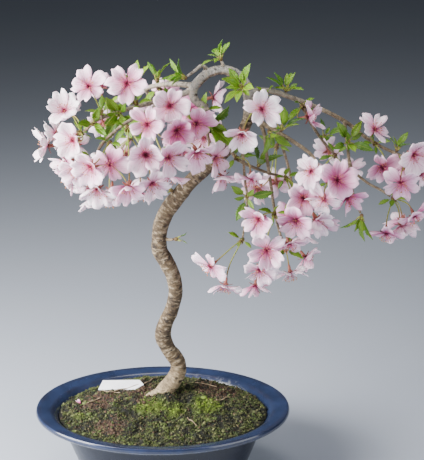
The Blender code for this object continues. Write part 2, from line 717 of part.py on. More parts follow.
def soil_height(x, y):
    """The height of the moss at a place in the pot, in millimetres."""
    reach = min(1.0, math.hypot(x / SOIL_SIDE[-1][0], y / (SOIL_SIDE[-1][0] * POT_OVAL)))
    back = SOIL_LEAN * y / (SOIL_SIDE[-1][0] * POT_OVAL) * (1 - reach ** 2)
    mound = SOIL_EDGE_HEIGHT + SOIL_MOUND * (1 - reach ** 2.2) + back
    cushions = noise.noise(Vector((x, y, 0.0)) * MOSS_GRAIN)
    tufts = noise.noise(Vector((x, y, 9.0)) * MOSS_GRAIN * 2.3)
    relief = cushions + 0.5 * tufts
    return mound + MOSS_RELIEF * relief * (1 - 0.6 * reach ** 4)


def build_soil(group, cutters):
    """The soil with its moss: the pot's inside shape, a plain hole for the trunk, and the label's bed."""
    floor = SOIL_SIDE[0][1]
    top = [(SOIL_SIDE[-1][0] * ring, SOIL_EDGE_HEIGHT) for ring in SOIL_RINGS]
    soil = turned("soil", [(0, floor)] + SOIL_SIDE + top + [(0, SOIL_EDGE_HEIGHT)], group, 32)
    for vert in soil.data.vertices:
        if vert.co.z > (SOIL_EDGE_HEIGHT - 0.1) * MM:
            vert.co.z = soil_height(vert.co.x / MM, vert.co.y / MM) * MM
    soil.data.materials.append(material("soil"))
    wider = [(x, y, z, radius + GAP + 0.15) for x, y, z, radius in TRUNK[:5]]
    wider[0] = (wider[0][0], wider[0][1], wider[0][2] - 1.0, wider[0][3])
    cut(soil, tube("trunk_hole", wider, TRUNK_SIDES, cutters))
    toe = [(x, y, z, radius + GAP + 0.15) for x, y, z, radius in TOE_ROOT]
    toe[-1] = (toe[-1][0] - 0.8, toe[-1][1] - 0.2, toe[-1][2] - 0.5, toe[-1][3])
    cut(soil, tube("toe_root_hole", toe, TWIG_SIDES, cutters))
    cut(soil, label_object("label_bed", GAP, cutters))
    for side, word in ((-1, "left"), (1, "right")):
        work = bmesh.new()
        bmesh.ops.create_cube(work, size=1.0)
        side_length = SCREEN_SIDE + 2 * GAP
        height = 2 * (SCREEN_THICK + 2 * GAP)
        bmesh.ops.scale(work, vec=(side_length, side_length, height), verts=work.verts)
        bmesh.ops.translate(work, verts=work.verts, vec=(side * DRAIN_HOLE_OFFSET, 0.0, floor - GAP))
        cut(soil, from_bmesh("screen_bed_" + word, work, cutters))
    return soil


def label_object(name, grow_by, group):
    """The label's blank: a flat strip with a point at its right end, larger all round for its bed."""
    half = LABEL_WIDTH / 2 + grow_by
    left, right = -LABEL_LENGTH / 2 - grow_by, LABEL_LENGTH / 2 + grow_by
    shoulder = right - LABEL_POINT
    outline = [(left, -half), (shoulder, -half), (right, 0.0), (shoulder, half), (left, half)]
    work = bmesh.new()
    face = work.faces.new([work.verts.new((x, y, -LABEL_THICK / 2 - grow_by)) for x, y in outline])
    solid = bmesh.ops.extrude_face_region(work, geom=[face])
    lifted = [v for v in solid["geom"] if isinstance(v, bmesh.types.BMVert)]
    bmesh.ops.translate(work, verts=lifted, vec=(0.0, 0.0, LABEL_THICK + 2 * grow_by))
    for angle, axis in zip(LABEL_TILT, "XYZ"):
        bmesh.ops.rotate(work, verts=work.verts, matrix=Matrix.Rotation(math.radians(angle), 3, axis))
    bmesh.ops.translate(work, verts=work.verts, vec=LABEL_CENTRE)
    return from_bmesh(name, work, group)


def build_wood(group, work_group):
    """The trunk with its root flare, its looped top and every branch and twig, as one piece."""
    trunk = tube("trunk", [tuple(row) for row in twig_route("trunk")], TRUNK_SIDES, group)
    tube("toe_root", TOE_ROOT, TWIG_SIDES, work_group)
    for name in TWIGS:
        tube(name, [tuple(row) for row in twig_route(name)], TWIG_SIDES, work_group)
    fuse(trunk, work_group, material("bark"))
    return trunk


def build_sprays(group, work_group):
    """Every spray of blossom and every leafy shoot, each one fused into a single piece."""
    buds, blooms, leaves = grow()
    blossom, green = material("blossom"), material("leaf")
    for name, bud in buds.items():
        piece = bud_object(bud, "spray_" + name if name in SPRAYS else name, group)
        for index, bloom in enumerate([b for b in blooms if b.spray == name]):
            bloom_object(bloom, bud, f"bloom_{index}", work_group)
        for index, leaf in enumerate([f for f in leaves if f.spray == name]):
            leaf_object(leaf, bud, f"leaf_{index}", work_group)
        fuse(piece, work_group, blossom if name in SPRAYS else green)


def main():
    """Build the whole bonsai."""
    clear_scene()
    part = collection("weeping_cherry_bonsai")
    cutters = collection("cutters")
    work_group = collection("work")
    build_pot(part, cutters)
    build_screens(part)
    build_soil(part, cutters)
    label = label_object("plant_label", 0.0, part)
    label.data.materials.append(material("label"))
    build_wood(part, work_group)
    build_sprays(part, work_group)
    bpy.data.collections.remove(work_group)


main()
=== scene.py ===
"""Weeping cherry bonsai: the finished looks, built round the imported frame.

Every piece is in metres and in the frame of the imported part: the origin is the centre of the pot's
foot, +Z is up and the front faces -Y. The tables of twigs, sprays and shoots are in millimetres and
are the ones that the solids were grown from, so each fine blossom and leaf keeps its solid's place.
"""
import logging
import math
import random
from collections.abc import Callable, Iterable, Sequence
from dataclasses import dataclass, field, replace
from enum import Enum
from typing import NamedTuple

import bmesh
import bpy
import numpy as np
from mathutils import Matrix, Vector, noise


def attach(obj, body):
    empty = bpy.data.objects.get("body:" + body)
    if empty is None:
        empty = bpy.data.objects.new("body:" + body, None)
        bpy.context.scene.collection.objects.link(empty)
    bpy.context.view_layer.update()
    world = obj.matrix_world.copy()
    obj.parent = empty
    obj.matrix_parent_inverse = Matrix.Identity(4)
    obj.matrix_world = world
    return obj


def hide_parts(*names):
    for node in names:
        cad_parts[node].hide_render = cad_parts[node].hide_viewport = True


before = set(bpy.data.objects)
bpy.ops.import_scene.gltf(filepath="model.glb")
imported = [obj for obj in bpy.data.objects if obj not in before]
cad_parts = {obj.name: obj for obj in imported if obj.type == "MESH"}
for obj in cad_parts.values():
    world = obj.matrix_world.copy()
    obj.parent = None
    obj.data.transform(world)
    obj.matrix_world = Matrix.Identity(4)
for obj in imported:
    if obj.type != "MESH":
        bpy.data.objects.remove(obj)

log = logging.getLogger("bonsai")
logging.basicConfig(level=logging.INFO, format="%(message)s")

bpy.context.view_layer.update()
BODY = "root"
MM = 0.001
SEED = 11
FINE_SEED = 23

Route = list[np.ndarray]
# Trunk: the centre line from the foot in the soil to the end of the looped top, with its radii
TRUNK = [
    (-4.5, 11, 50, 7.3), (-2.5, 12, 62, 7.5), (1, 13, 70, 7.4), (7, 14, 77.5, 7.0), (11.5, 15, 85, 6.7),
    (12.5, 15.5, 92.5, 6.5),
    (10, 15, 100, 6.5), (4, 14, 109, 6.3), (0, 12, 121, 6.4), (3, 11, 134, 6.1), (8, 9, 145, 5.7),
    (11, 8, 159, 5.7), (9.5, 7, 174, 6.0), (4, 6, 187, 6.4), (-1.5, 6, 197, 6.2), (-1.5, 6, 208, 6.1),
    (0, 6, 218, 6.2), (5, 6, 230, 6.4), (13, 6, 241, 6.3), (23, 6, 253, 5.9), (33, 6, 263, 5.6),
    (44, 5, 272, 5.1), (56, 4, 284, 4.7), (66, 3, 298, 4.5), (70, 2, 314, 4.5), (68, 1, 329, 4.3),
    (61, 0, 340, 4.0), (50, 0, 345, 3.8), (39, -1, 343, 3.6), (31, -2, 337, 3.7), (26, -4, 330, 3.5),
    (28, -6, 322, 3.2), (37, -8, 317, 2.6),
]
TOE_ROOT = [(1, 12, 71, 4.6), (-5, 10.5, 70, 3.4), (-11, 9.5, 68, 2.5), (-16, 9, 65, 1.6)]
# Branches and twigs: points (x, y, z), then the first and the last radius
TWIGS = {
    "left_top": ([(26, -2, 333), (13, 4, 333), (0, 10, 331), (-11, 16, 327), (-24, 22, 320), (-39, 28, 312),
                  (-52, 32, 301), (-62, 34, 288)], 2.2, 1.1),
    "left_middle": ([(26, -4, 330), (15, -6, 326), (1, -8, 323), (-14, -10, 319), (-31, -14, 315),
                     (-46, -18, 310), (-57, -20, 301)], 2.4, 1.1),
    "left_front": ([(8, -7, 325), (0, -22, 323), (-12, -36, 318), (-26, -46, 312), (-40, -50, 300),
                    (-47, -50, 288)], 1.7, 1.0),
    "left_inner": ([(37, -8, 317), (30, -14, 312), (21, -22, 304), (10, -30, 295), (1, -34, 284)], 1.8, 1.0),
    "left_back": ([(-11, 16, 327), (-9, 34, 311), (-18, 44, 292), (-31, 48, 274), (-41, 48, 259)], 1.6, 1.0),
    "middle_hanging": ([(31, -7, 320), (35, -13, 305), (39, -16, 290), (38, -17, 280)], 1.4, 1.0),
    "top_left_spur": ([(38, 0, 344), (33, -4, 349), (28, -8, 346), (22, -10, 342)], 1.4, 1.0),
    "top_spur": ([(48, 0, 345), (49, -2, 349), (48, -3, 352)], 1.4, 1.1),
    "right_top": ([(69, 1, 327), (80, 8, 327), (92, 14, 324), (104, 18, 319), (125, 22, 310), (146, 24, 299),
                   (160, 24, 288), (173, 22, 280), (187, 18, 274), (196, 14, 271)], 2.4, 1.0),
    "right_middle": ([(70, 2, 314), (79, -6, 305), (89, -12, 300), (104, -18, 292), (116, -22, 284),
                      (123, -24, 274), (129, -24, 264)], 2.0, 1.0),
    "right_hanging": ([(76, -4, 308), (81, -10, 297), (83, -12, 280), (86, -12, 260), (89, -12, 240),
                       (93, -12, 221), (98, -12, 206)], 1.6, 0.9),
    "thin_hanging": ([(67, 0, 306), (63, -14, 293), (65, -18, 278), (66, -20, 263), (68, -20, 249),
                      (67, -14, 230), (65, -10, 213)], 1.2, 0.8),
    "right_low": ([(60, 4, 288), (56, -4, 282), (62, -8, 275), (74, -8, 269), (86, -6, 264), (96, -4, 261)],
                  1.5, 1.0),
    "right_front": ([(146, 24, 299), (147, 16, 287), (149, 8, 271), (150, 2, 257), (153, -2, 243),
                     (158, -4, 231)], 1.4, 0.9),
    "far_right": ([(149, 8, 271), (153, 8, 262), (164, 6, 253), (174, 4, 248), (182, 2, 243)], 1.2, 0.9),
    "right_back": ([(110, 19, 317), (119, 34, 297), (130, 42, 279), (140, 46, 267)], 1.4, 1.0),
    "right_back_low": ([(80, 7, 326), (88, 26, 300), (98, 42, 273), (105, 50, 248), (108, 50, 228)],
                       1.5, 0.9),
    "leaf_stub": ([(0, 6, 208), (6, 2, 207), (10, 0, 208)], 1.3, 0.9),
}

# Sprays: the twig and the share of its length where the bud sits, then each blossom as
# (x, y, z) and the way it faces as (turn to the right of the front, lift), in degrees
SPRAYS = {
    "left_01": ("left_middle", 1.0, [
        (-68, -32, 321, -25, 25),
        (-62, -60, 303, -25, 5),
        (-82, -26, 291, -75, 0),
    ]),
    "left_02": ("left_middle", 0.8, [
        (-51, -30, 336, -10, 35),
    ]),
    "left_03": ("left_middle", 0.5, [
        (-22, -38, 342, 5, 30),
    ]),
    "left_04": ("left_front", 1.0, [
        (-71, -42, 282, -60, -25),
        (-57, -66, 284, -35, -20),
        (-66, -30, 262, -60, -55),
        (-43, -60, 268, -10, -55),
    ]),
    "left_05": ("left_front", 0.8, [
        (-46, -82, 291, -20, -5),
        (-33, -66, 287, 0, -10),
        (-50, -36, 256, -20, -75),
    ]),
    "left_06": ("left_front", 0.6, [
        (-7, -86, 300, 8, 5),
        (-20, -80, 274, 0, -30),
    ]),
    "left_07": ("left_front", 0.38, [
        (-6, -66, 318, 0, 15),
        (8, -66, 294, 25, -10),
        (-14, -52, 262, 5, -65),
        (-6, -68, 276, 12, -30),
    ]),
    "left_08": ("left_front", 0.14, [
        (10, -52, 328, 12, 20),
        (13, -50, 310, 20, -5),
    ]),
    "left_09": ("left_inner", 0.35, [
        (29, -44, 308, 18, -8),
    ]),
    "left_10": ("left_inner", 0.9, [
        (17, -32, 290, 10, -20),
        (9, -42, 272, -5, -70),
        (29, -48, 293, 25, -30),
    ]),
    "left_11": ("left_back", 1.0, [
        (-42, 20, 235, 0, -75),
        (-61, 40, 239, -60, -55),
        (-27, 48, 236, 120, -65),
        (-38, -6, 250, -5, -60),
    ]),
    "left_12": ("left_back", 0.72, [
        (-54, 74, 252, -150, -25),
        (-33, 86, 256, 180, -15),
        (-12, 74, 254, 150, -30),
    ]),
    "left_13": ("left_back", 0.4, [
        (-11, 76, 288, 175, 15),
        (5, 58, 276, 140, -20),
    ]),
    "left_14": ("left_top", 1.0, [
        (-86, 42, 284, -95, -10),
        (-74, 66, 268, -140, -25),
        (-78, 60, 299, -130, 20),
    ]),
    "left_15": ("left_top", 0.74, [
        (-50, 52, 320, -160, 45),
        (-32, 62, 316, 170, 35),
        (-50, 80, 284, -170, 5),
    ]),
    "left_16": ("left_top", 0.3, [
        (2, 46, 314, 175, 30),
        (20, 38, 306, 160, 5),
        (38, 34, 292, 140, -15),
    ]),
    "left_17": ("middle_hanging", 1.0, [
        (45, -34, 284, 30, -15),
        (49, -28, 268, 25, -50),
        (36, 2, 290, -20, -30),
    ]),
    "left_18": ("left_inner", 0.05, [
        (42, 24, 318, 100, 10),
    ]),
    "right_01": ("right_top", 0.1, [
        (78, -36, 322, 4, 15),
        (63, -38, 303, -10, -20),
    ]),
    "right_02": ("right_top", 0.33, [
        (116, 6, 306, 80, 5),
    ]),
    "right_03": ("right_top", 0.8, [
        (168, 4, 297, 25, 45),
        (175, -6, 270, -15, -25),
    ]),
    "right_04": ("right_top", 1.0, [
        (196, -8, 279, 25, 0),
        (186, -26, 262, -5, -15),
        (208, 18, 257, 65, -10),
        (197, 48, 256, 160, -15),
    ]),
    "right_05": ("far_right", 1.0, [
        (176, -8, 216, -10, -65),
        (192, 10, 216, 20, -75),
        (200, -10, 230, 40, -55),
        (198, 36, 212, 150, -60),
    ]),
    "right_06": ("right_middle", 1.0, [
        (134, -54, 272, 5, 8),
        (115, -50, 278, -25, 20),
        (125, -48, 254, -5, -30),
        (144, -28, 250, 45, -30),
    ]),
    "right_07": ("right_back", 1.0, [
        (138, 66, 264, 180, 10),
        (155, 70, 246, 150, -15),
        (124, 68, 244, -160, -15),
    ]),
    "right_08": ("right_low", 1.0, [
        (111, -40, 256, 5, -5),
        (105, -44, 238, -5, -15),
        (122, -24, 232, 25, -40),
    ]),
    "right_09": ("right_back_low", 1.0, [
        (114, 20, 204, 10, -55),
        (131, 34, 210, 50, -45),
        (108, 74, 206, 175, -35),
        (128, 76, 218, 150, -20),
    ]),
    "right_10": ("right_hanging", 0.72, [
        (78, -42, 238, -15, 0),
        (83, -44, 214, 0, -15),
        (100, -28, 214, 25, -50),
    ]),
    "right_11": ("right_hanging", 1.0, [
        (78, -26, 191, -10, -30),
        (76, 2, 168, 0, -75),
        (103, -8, 182, 20, -65),
        (116, 8, 190, 55, -45),
    ]),
    "right_12": ("thin_hanging", 1.0, [
        (39, -26, 194, -70, -35),
        (51, -20, 176, -30, -70),
    ]),
    "right_13": ("right_low", 0.3, [
        (69, -40, 268, 10, -60),
    ]),
    "right_14": ("right_back_low", 0.55, [
        (94, 70, 236, 175, -20),
        (78, 52, 236, -140, -25),
    ]),
}

# Leafy shoots: the twig and the share of its length, the way the tuft points, how far the
# leaves spread from it in degrees, how many leaves, and their length
SHOOTS = {
    "shoot_01": ("left_top", 0.46, (-0.25, -0.2, 1.0), 46, 5, 17),
    "shoot_02": ("left_top", 0.28, (-0.1, 0.4, 1.0), 40, 3, 12),
    "shoot_03": ("top_left_spur", 1.0, (-1.0, -0.3, 0.25), 55, 5, 15),
    "shoot_04": ("top_spur", 1.0, (-0.3, -0.1, 0.8), 80, 5, 12),
    "shoot_05": ("trunk", 0.825, (-0.5, -0.8, 0.5), 60, 6, 16),
    "shoot_06": ("right_top", 0.22, (0.1, -0.3, 1.0), 70, 6, 14),
    "shoot_07": ("right_middle", 0.38, (0.2, -0.2, 1.0), 62, 5, 15),
    "shoot_08": ("right_middle", 0.30, (0.5, -1.0, -0.7), 45, 3, 14),
    "shoot_09": ("right_back", 0.70, (0.3, -0.6, 0.7), 50, 3, 12),
    "shoot_10": ("right_front", 0.24, (0.2, -1.0, 0.2), 75, 5, 15),
    "shoot_11": ("right_front", 1.0, (-0.2, -0.2, -1.0), 52, 6, 15),
    "shoot_12": ("right_top", 0.93, (0.2, -0.2, 1.0), 50, 3, 12),
    "shoot_13": ("right_low", 0.62, (0.5, -0.4, 1.0), 50, 3, 14),
    "shoot_14": ("left_middle", 0.90, (0.2, -1.0, 0.3), 40, 3, 15),
    "shoot_15": ("left_middle", 0.66, (-0.1, -1.0, -0.25), 62, 6, 18),
    "shoot_16": ("trunk", 0.535, (-1.0, -0.5, 0.6), 45, 3, 8),
    "shoot_17": ("leaf_stub", 1.0, (1.0, -0.3, 0.2), 25, 2, 6),
    "shoot_18": ("thin_hanging", 0.62, (0.0, -0.5, -0.15), 82, 3, 16),
    "shoot_19": ("middle_hanging", 0.4, (0.8, -0.9, 0.0), 38, 3, 24),
}

BLOOM_RADIUS = 14.6
BLOOM_VARIATION = 0.06
LARGE_BLOOM_RADIUS = 16.5
LARGE_BLOOMS = {("left_03", 0), ("left_06", 0), ("right_01", 0), ("right_06", 0)}
PETALS = 5
BLOOM_CUP = 0.2
CALYX_LENGTH = 7.0
GAP = 0.3
BUD_RADIUS = 2.1
PETIOLE_LENGTH = 5.0
SPRAY_MARGIN = 5.6
WOOD_MARGIN = 2.8
SETTLE_STEPS = 90


class Bloom(NamedTuple):
    """One blossom's place: its spray, centre, the way it faces, its radius and its turn."""

    spray: str
    centre: np.ndarray
    axis: np.ndarray
    radius: float
    spin: float


class Leaf(NamedTuple):
    """One leaf's place: its shoot, blade base, direction, upper side and length."""

    spray: str
    base: np.ndarray
    along: np.ndarray
    normal: np.ndarray
    length: float


def unit(vector: np.ndarray) -> np.ndarray:
    """The vector at length one."""
    return vector / np.linalg.norm(vector)


def smooth_route(points: Iterable[Sequence[float]], per_span: int) -> Route:
    """Points along a smooth curve through a route, its radii with it.

    Args:
        points: the route's points, each with any further values that follow it.
        per_span: how many points to put in each span.

    Returns:
        The finer route.
    """
    rows = [np.array(p, dtype=float) for p in points]
    rows = [2 * rows[0] - rows[1]] + rows + [2 * rows[-1] - rows[-2]]
    out = []
    for a, b, c, d in zip(rows, rows[1:], rows[2:], rows[3:]):
        for step in range(per_span):
            t = step / per_span
            out.append(0.5 * (2 * b + (c - a) * t + (2 * a - 5 * b + 4 * c - d) * t * t
                              + (3 * b - a - 3 * c + d) * t ** 3))
    out.append(rows[-2])
    return out


def petal_frame(axis: np.ndarray, spin: float) -> tuple[np.ndarray, np.ndarray]:
    """Two directions across an axis, turned by the spin."""
    helper = np.array((0.0, 0.0, 1.0)) if abs(axis[2]) < 0.9 else np.array((0.0, 1.0, 0.0))
    side = unit(np.cross(helper, axis))
    over = np.cross(axis, side)
    return side * math.cos(spin) + over * math.sin(spin), over * math.cos(spin) - side * math.sin(spin)


@dataclass
class Growth:
    """Where every bud, blossom and leaf of the tree is, worked out by the rule that placed its solid."""

    buds: dict[str, np.ndarray] = field(default_factory=dict)
    blooms: list[Bloom] = field(default_factory=list)
    leaves: list[Leaf] = field(default_factory=list)

    @staticmethod
    def twig_route(name: str) -> Route:
        """The route of a twig or of the trunk, with a radius at each point."""
        if name == "trunk":
            return [np.array(row, dtype=float) for row in TRUNK]
        points, first, last = TWIGS[name]
        count = len(points) - 1
        return [np.array((*p, first + (last - first) * i / count)) for i, p in enumerate(points)]

    @classmethod
    def along_route(cls, name: str, share: float) -> tuple[np.ndarray, np.ndarray, float]:
        """The place, direction and radius at a share of a twig's length."""
        route = cls.twig_route(name)
        lengths = [np.linalg.norm(b[:3] - a[:3]) for a, b in zip(route, route[1:])]
        left = share * sum(lengths)
        for a, b, length in zip(route, route[1:], lengths):
            if left <= length or b is route[-1]:
                break
            left -= length
        row = a + (b - a) * min(1.0, left / length)
        return row[:3], (b[:3] - a[:3]) / length, row[3]

    @classmethod
    def bud_place(cls, twig: str, share: float, wish: np.ndarray) -> np.ndarray:
        """The centre of a bud that sits on a twig, on the side that is wished for."""
        place, along, radius = cls.along_route(twig, share)
        if share == 1.0:
            return place + along * (BUD_RADIUS + GAP)
        side = wish - along * wish.dot(along)
        return place + unit(side) * (radius + BUD_RADIUS + GAP)

    @staticmethod
    def facing(turn: float, lift: float) -> np.ndarray:
        """The direction that a blossom faces, from its turn off the front and its lift, in degrees."""
        turn, lift = math.radians(turn), math.radians(lift)
        return np.array((math.sin(turn) * math.cos(lift), -math.cos(turn) * math.cos(lift), math.sin(lift)))

    @staticmethod
    def sample_points(bloom: Bloom) -> np.ndarray:
        """Points over a blossom's petals, from its centre, that it keeps clear of its neighbours with."""
        side, over = petal_frame(bloom.axis, bloom.spin)
        points = [np.zeros(3)]
        for petal in range(PETALS):
            for angle, share in ((0, 0.45), (-16, 0.75), (16, 0.75), (-10, 0.98), (10, 0.98)):
                turn = math.radians(360 / PETALS * petal + angle)
                reach = bloom.radius * share
                lift = BLOOM_CUP * bloom.radius * share * share
                points.append((side * math.cos(turn) + over * math.sin(turn)) * reach + bloom.axis * lift)
        return np.array(points)

    @staticmethod
    def pedicel_handles(bud: np.ndarray, bloom: Bloom) -> list[np.ndarray]:
        """The two ends and two handles of a blossom's stalk, from its bud to its calyx."""
        calyx = bloom.centre - bloom.axis * CALYX_LENGTH
        reach = 0.4 * np.linalg.norm(calyx - bud)
        outward = unit(calyx - bud + np.array((0.0, 0.0, 0.35)) * reach)
        return [bud, bud + outward * reach, calyx - bloom.axis * reach, calyx]

    @classmethod
    def pedicel_points(cls, bud: np.ndarray, bloom: Bloom) -> list[np.ndarray]:
        """A stalk's start, middle and end, as its solid has them."""
        first, second, third, last = cls.pedicel_handles(bud, bloom)
        return [first, (first + 3 * second + 3 * third + last) / 8, last]

    def shoot_leaves(self, name: str, wish: Sequence[float], spread: float, count: int, length: float,
                     rng: random.Random) -> list[Leaf]:
        """The leaves of one tuft, fanned out round the way it points."""
        bud = self.buds[name]
        wish = unit(np.array(wish, dtype=float))
        side, over = petal_frame(wish, rng.uniform(0, math.tau))
        leaves = []
        for index in range(count):
            turn = math.tau * index / count + rng.uniform(-0.25, 0.25)
            lean = math.radians(spread) * (0.25 if index == 0 and count > 3 else rng.uniform(0.75, 1.0))
            outward = side * math.cos(turn) + over * math.sin(turn)
            along = unit(wish * math.cos(lean) + outward * math.sin(lean))
            normal = unit(outward * -math.cos(lean) + wish * math.sin(lean) + np.array((0.0, 0.0, 0.3)))
            normal = unit(normal - along * normal.dot(along))
            base = bud + along * PETIOLE_LENGTH
            leaves.append(Leaf(name, base, along, normal, length * rng.uniform(0.8, 1.15)))
        return leaves

    def settle(self) -> None:
        """Ease blossoms of different sprays apart, and off the leaves and the wood, where they crowd."""
        names = sorted(self.buds)
        offsets = np.array([self.sample_points(b) for b in self.blooms])
        group = np.array([names.index(b.spray) for b in self.blooms])
        start = np.array([b.centre for b in self.blooms])
        centres = start.copy()
        wood = np.array([row for twig in ["trunk", *TWIGS] for row in smooth_route(self.twig_route(twig), 3)])
        leaf_points = np.array([f.base + f.along * f.length * s
                                for f in self.leaves for s in (-0.1, 0.25, 0.6, 0.95)])
        leaf_group = np.array([names.index(f.spray) for f in self.leaves for _ in range(4)])
        per = offsets.shape[1]
        for _ in range(SETTLE_STEPS):
            petals = (centres[:, None] + offsets).reshape(-1, 3)
            stalks, stalk_group = [], []
            for bloom, centre in zip(self.blooms, centres):
                points = self.pedicel_points(self.buds[bloom.spray], bloom._replace(centre=centre))
                for a, b, t in ((0, 1, 0.5), (0, 1, 1.0), (1, 2, 0.5), (1, 2, 1.0)):
                    stalks.append(points[a] + (points[b] - points[a]) * t)
                    stalk_group.append(names.index(bloom.spray))
            others = np.concatenate([petals, np.array(stalks), leaf_points, wood[:, :3]])
            owner = np.concatenate([np.repeat(group, per), stalk_group, leaf_group, np.full(len(wood), -1)])
            spray_margins = np.full(len(others) - len(wood), SPRAY_MARGIN)
            margin = np.concatenate([spray_margins, wood[:, 3] + WOOD_MARGIN])
            push = np.zeros_like(centres)
            for index, bloom in enumerate(self.blooms):
                mine = petals[index * per:(index + 1) * per]
                near = np.abs(others - centres[index]).max(axis=1) < bloom.radius * 1.1 + margin
                near &= owner != group[index]
                apart = mine[:, None] - others[near][None]
                distance = np.sqrt((apart ** 2).sum(axis=2)) + 1e-9
                short = np.maximum(0.0, margin[near][None] - distance)
                count = (short > 0).sum()
                if count:
                    total = (apart / distance[..., None] * short[..., None]).sum(axis=(0, 1))
                    push[index] = total / count * 1.6
            centres += push + (start - centres) * 0.02
        self.blooms = [b._replace(centre=np.round(c, 2)) for b, c in zip(self.blooms, centres)]

    def grow(self) -> None:
        """Work out where every bud, blossom and leaf is."""
        rng = random.Random(SEED)
        for name, (twig, share, rows) in SPRAYS.items():
            middle = np.mean([np.array(row[:3], dtype=float) for row in rows], axis=0)
            self.buds[name] = self.bud_place(twig, share, middle - self.along_route(twig, share)[0])
            for index, (x, y, z, turn, lift) in enumerate(rows):
                radius = BLOOM_RADIUS * (1 + rng.uniform(-BLOOM_VARIATION, BLOOM_VARIATION))
                if (name, index) in LARGE_BLOOMS:
                    radius = LARGE_BLOOM_RADIUS
                centre = np.array((x, y, z), dtype=float)
                spin = rng.uniform(0, math.tau / PETALS)
                self.blooms.append(Bloom(name, centre, self.facing(turn, lift), radius, spin))
        for name, (twig, share, wish, spread, count, length) in SHOOTS.items():
            self.buds[name] = self.bud_place(twig, share, np.array(wish, dtype=float))
            self.leaves += self.shoot_leaves(name, wish, spread, count, length, rng)
        self.settle()


class Template(NamedTuple):
    """A shape modelled once: points, faces, two pattern values a point and the number of rim faces."""

    points: np.ndarray
    faces: list[tuple[int, ...]]
    chart: np.ndarray
    rim: int = 0


@dataclass
class Batch:
    """Many copies of templates gathered into one mesh, each with its own finish and pattern values."""

    points: list[np.ndarray] = field(default_factory=list)
    faces: list[tuple[int, ...]] = field(default_factory=list)
    chart: list[np.ndarray] = field(default_factory=list)
    finish: list[int] = field(default_factory=list)
    smooth: list[bool] = field(default_factory=list)
    count: int = 0

    def add(self, points: np.ndarray, shape: Template, value: float = 0.0, finish: int = 0) -> None:
        """Add one copy of a shape.

        Args:
            points: where the copy's points are, in millimetres.
            shape: the template that gives its faces and pattern values.
            value: a third pattern value, the same all over the copy.
            finish: the index of its finish among the piece's finishes.
        """
        start = self.count
        self.points.append(points)
        self.chart.append(np.column_stack([shape.chart, np.full(len(points), value)]))
        self.faces += [tuple(start + i for i in face) for face in shape.faces]
        self.finish += [finish] * len(shape.faces)
        self.smooth += [True] * (len(shape.faces) - shape.rim) + [False] * shape.rim
        self.count += len(points)

    def build(self, name: str, finishes: Sequence[bpy.types.Material], slot: str,
              stands_for: Sequence[str] = ()) -> bpy.types.Object:
        """Make the mesh, dress it and let it ride on the body.

        Args:
            name: the piece's name.
            finishes: its materials, in the order of the indices given to add.
            slot: not used.
            stands_for: the solids that it replaces.

        Returns:
            The finished piece.
        """
        mesh = bpy.data.meshes.new(name)
        mesh.from_pydata((np.concatenate(self.points) * MM).tolist(), [], self.faces)
        chart = mesh.attributes.new("chart", "FLOAT_VECTOR", "POINT")
        chart.data.foreach_set("vector", np.concatenate(self.chart).astype(np.float32).ravel())
        for finish in finishes:
            mesh.materials.append(finish)
        mesh.polygons.foreach_set("material_index", self.finish)
        mesh.polygons.foreach_set("use_smooth", self.smooth)
        mesh.update()
        piece = bpy.data.objects.new(name, mesh)
        bpy.context.scene.collection.objects.link(piece)
        return settle_piece(piece, stands_for)


def settle_piece(piece: bpy.types.Object, stands_for: Sequence[str] = ()) -> bpy.types.Object:
    """Let a piece ride on the body and hide the solids that it stands for."""
    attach(piece, BODY)
    if stands_for:
        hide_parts(*stands_for)
    log.info("%s: %d faces", piece.name, len(piece.data.polygons))
    return piece


def fresh(name: str) -> bpy.types.Object:
    """Name the primitive that was just added."""
    piece = bpy.context.object
    piece.name = name
    return piece


def alone() -> None:
    """Deselect everything, so that an operator acts on the new primitive alone."""
    bpy.ops.object.select_all(action="DESELECT")


def apply_modifiers(piece: bpy.types.Object) -> None:
    """Apply every modifier of the piece in order."""
    bpy.context.view_layer.objects.active = piece
    for modifier in list(piece.modifiers):
        bpy.ops.object.modifier_apply(modifier=modifier.name)


def take_template(piece: bpy.types.Object, chart: np.ndarray | None = None) -> Template:
    """Read a modelled shape as a template and remove its object."""
    mesh = piece.data
    points = np.empty(len(mesh.vertices) * 3)
    mesh.vertices.foreach_get("co", points)
    points = points.reshape(-1, 3)
    faces = [tuple(p.vertices) for p in mesh.polygons]
    if chart is None:
        chart = np.zeros((len(points), 2))
    bpy.data.objects.remove(piece, do_unlink=True)
    return Template(points, faces, chart)


def model_rod(sides: int, rings: int) -> Template:
    """A round rod along +Z, from 0 to 1, to be bent along a route.

    Args:
        sides: points round it.
        rings: rings of points along it.

    Returns:
        The rod; its chart holds the turn round it and the share of its length.
    """
    alone()
    bpy.ops.mesh.primitive_cylinder_add(vertices=sides, radius=1.0, depth=1.0, end_fill_type="TRIFAN",
                                        location=(0, 0, 0.5))
    rod = fresh("rod")
    bpy.ops.object.transform_apply(location=True, rotation=True, scale=True)
    bpy.ops.object.mode_set(mode="EDIT")
    bpy.ops.mesh.select_all(action="DESELECT")
    work = bmesh.from_edit_mesh(rod.data)
    for edge in work.edges:
        edge.select = abs(edge.verts[0].co.z - edge.verts[1].co.z) > 0.5
    bmesh.update_edit_mesh(rod.data)
    if rings > 2:
        bpy.ops.mesh.subdivide(number_cuts=rings - 2)
    bpy.ops.object.mode_set(mode="OBJECT")
    shape = take_template(rod)
    turn = np.arctan2(shape.points[:, 1], shape.points[:, 0]) / math.tau
    return shape._replace(chart=np.column_stack([turn, shape.points[:, 2]]))


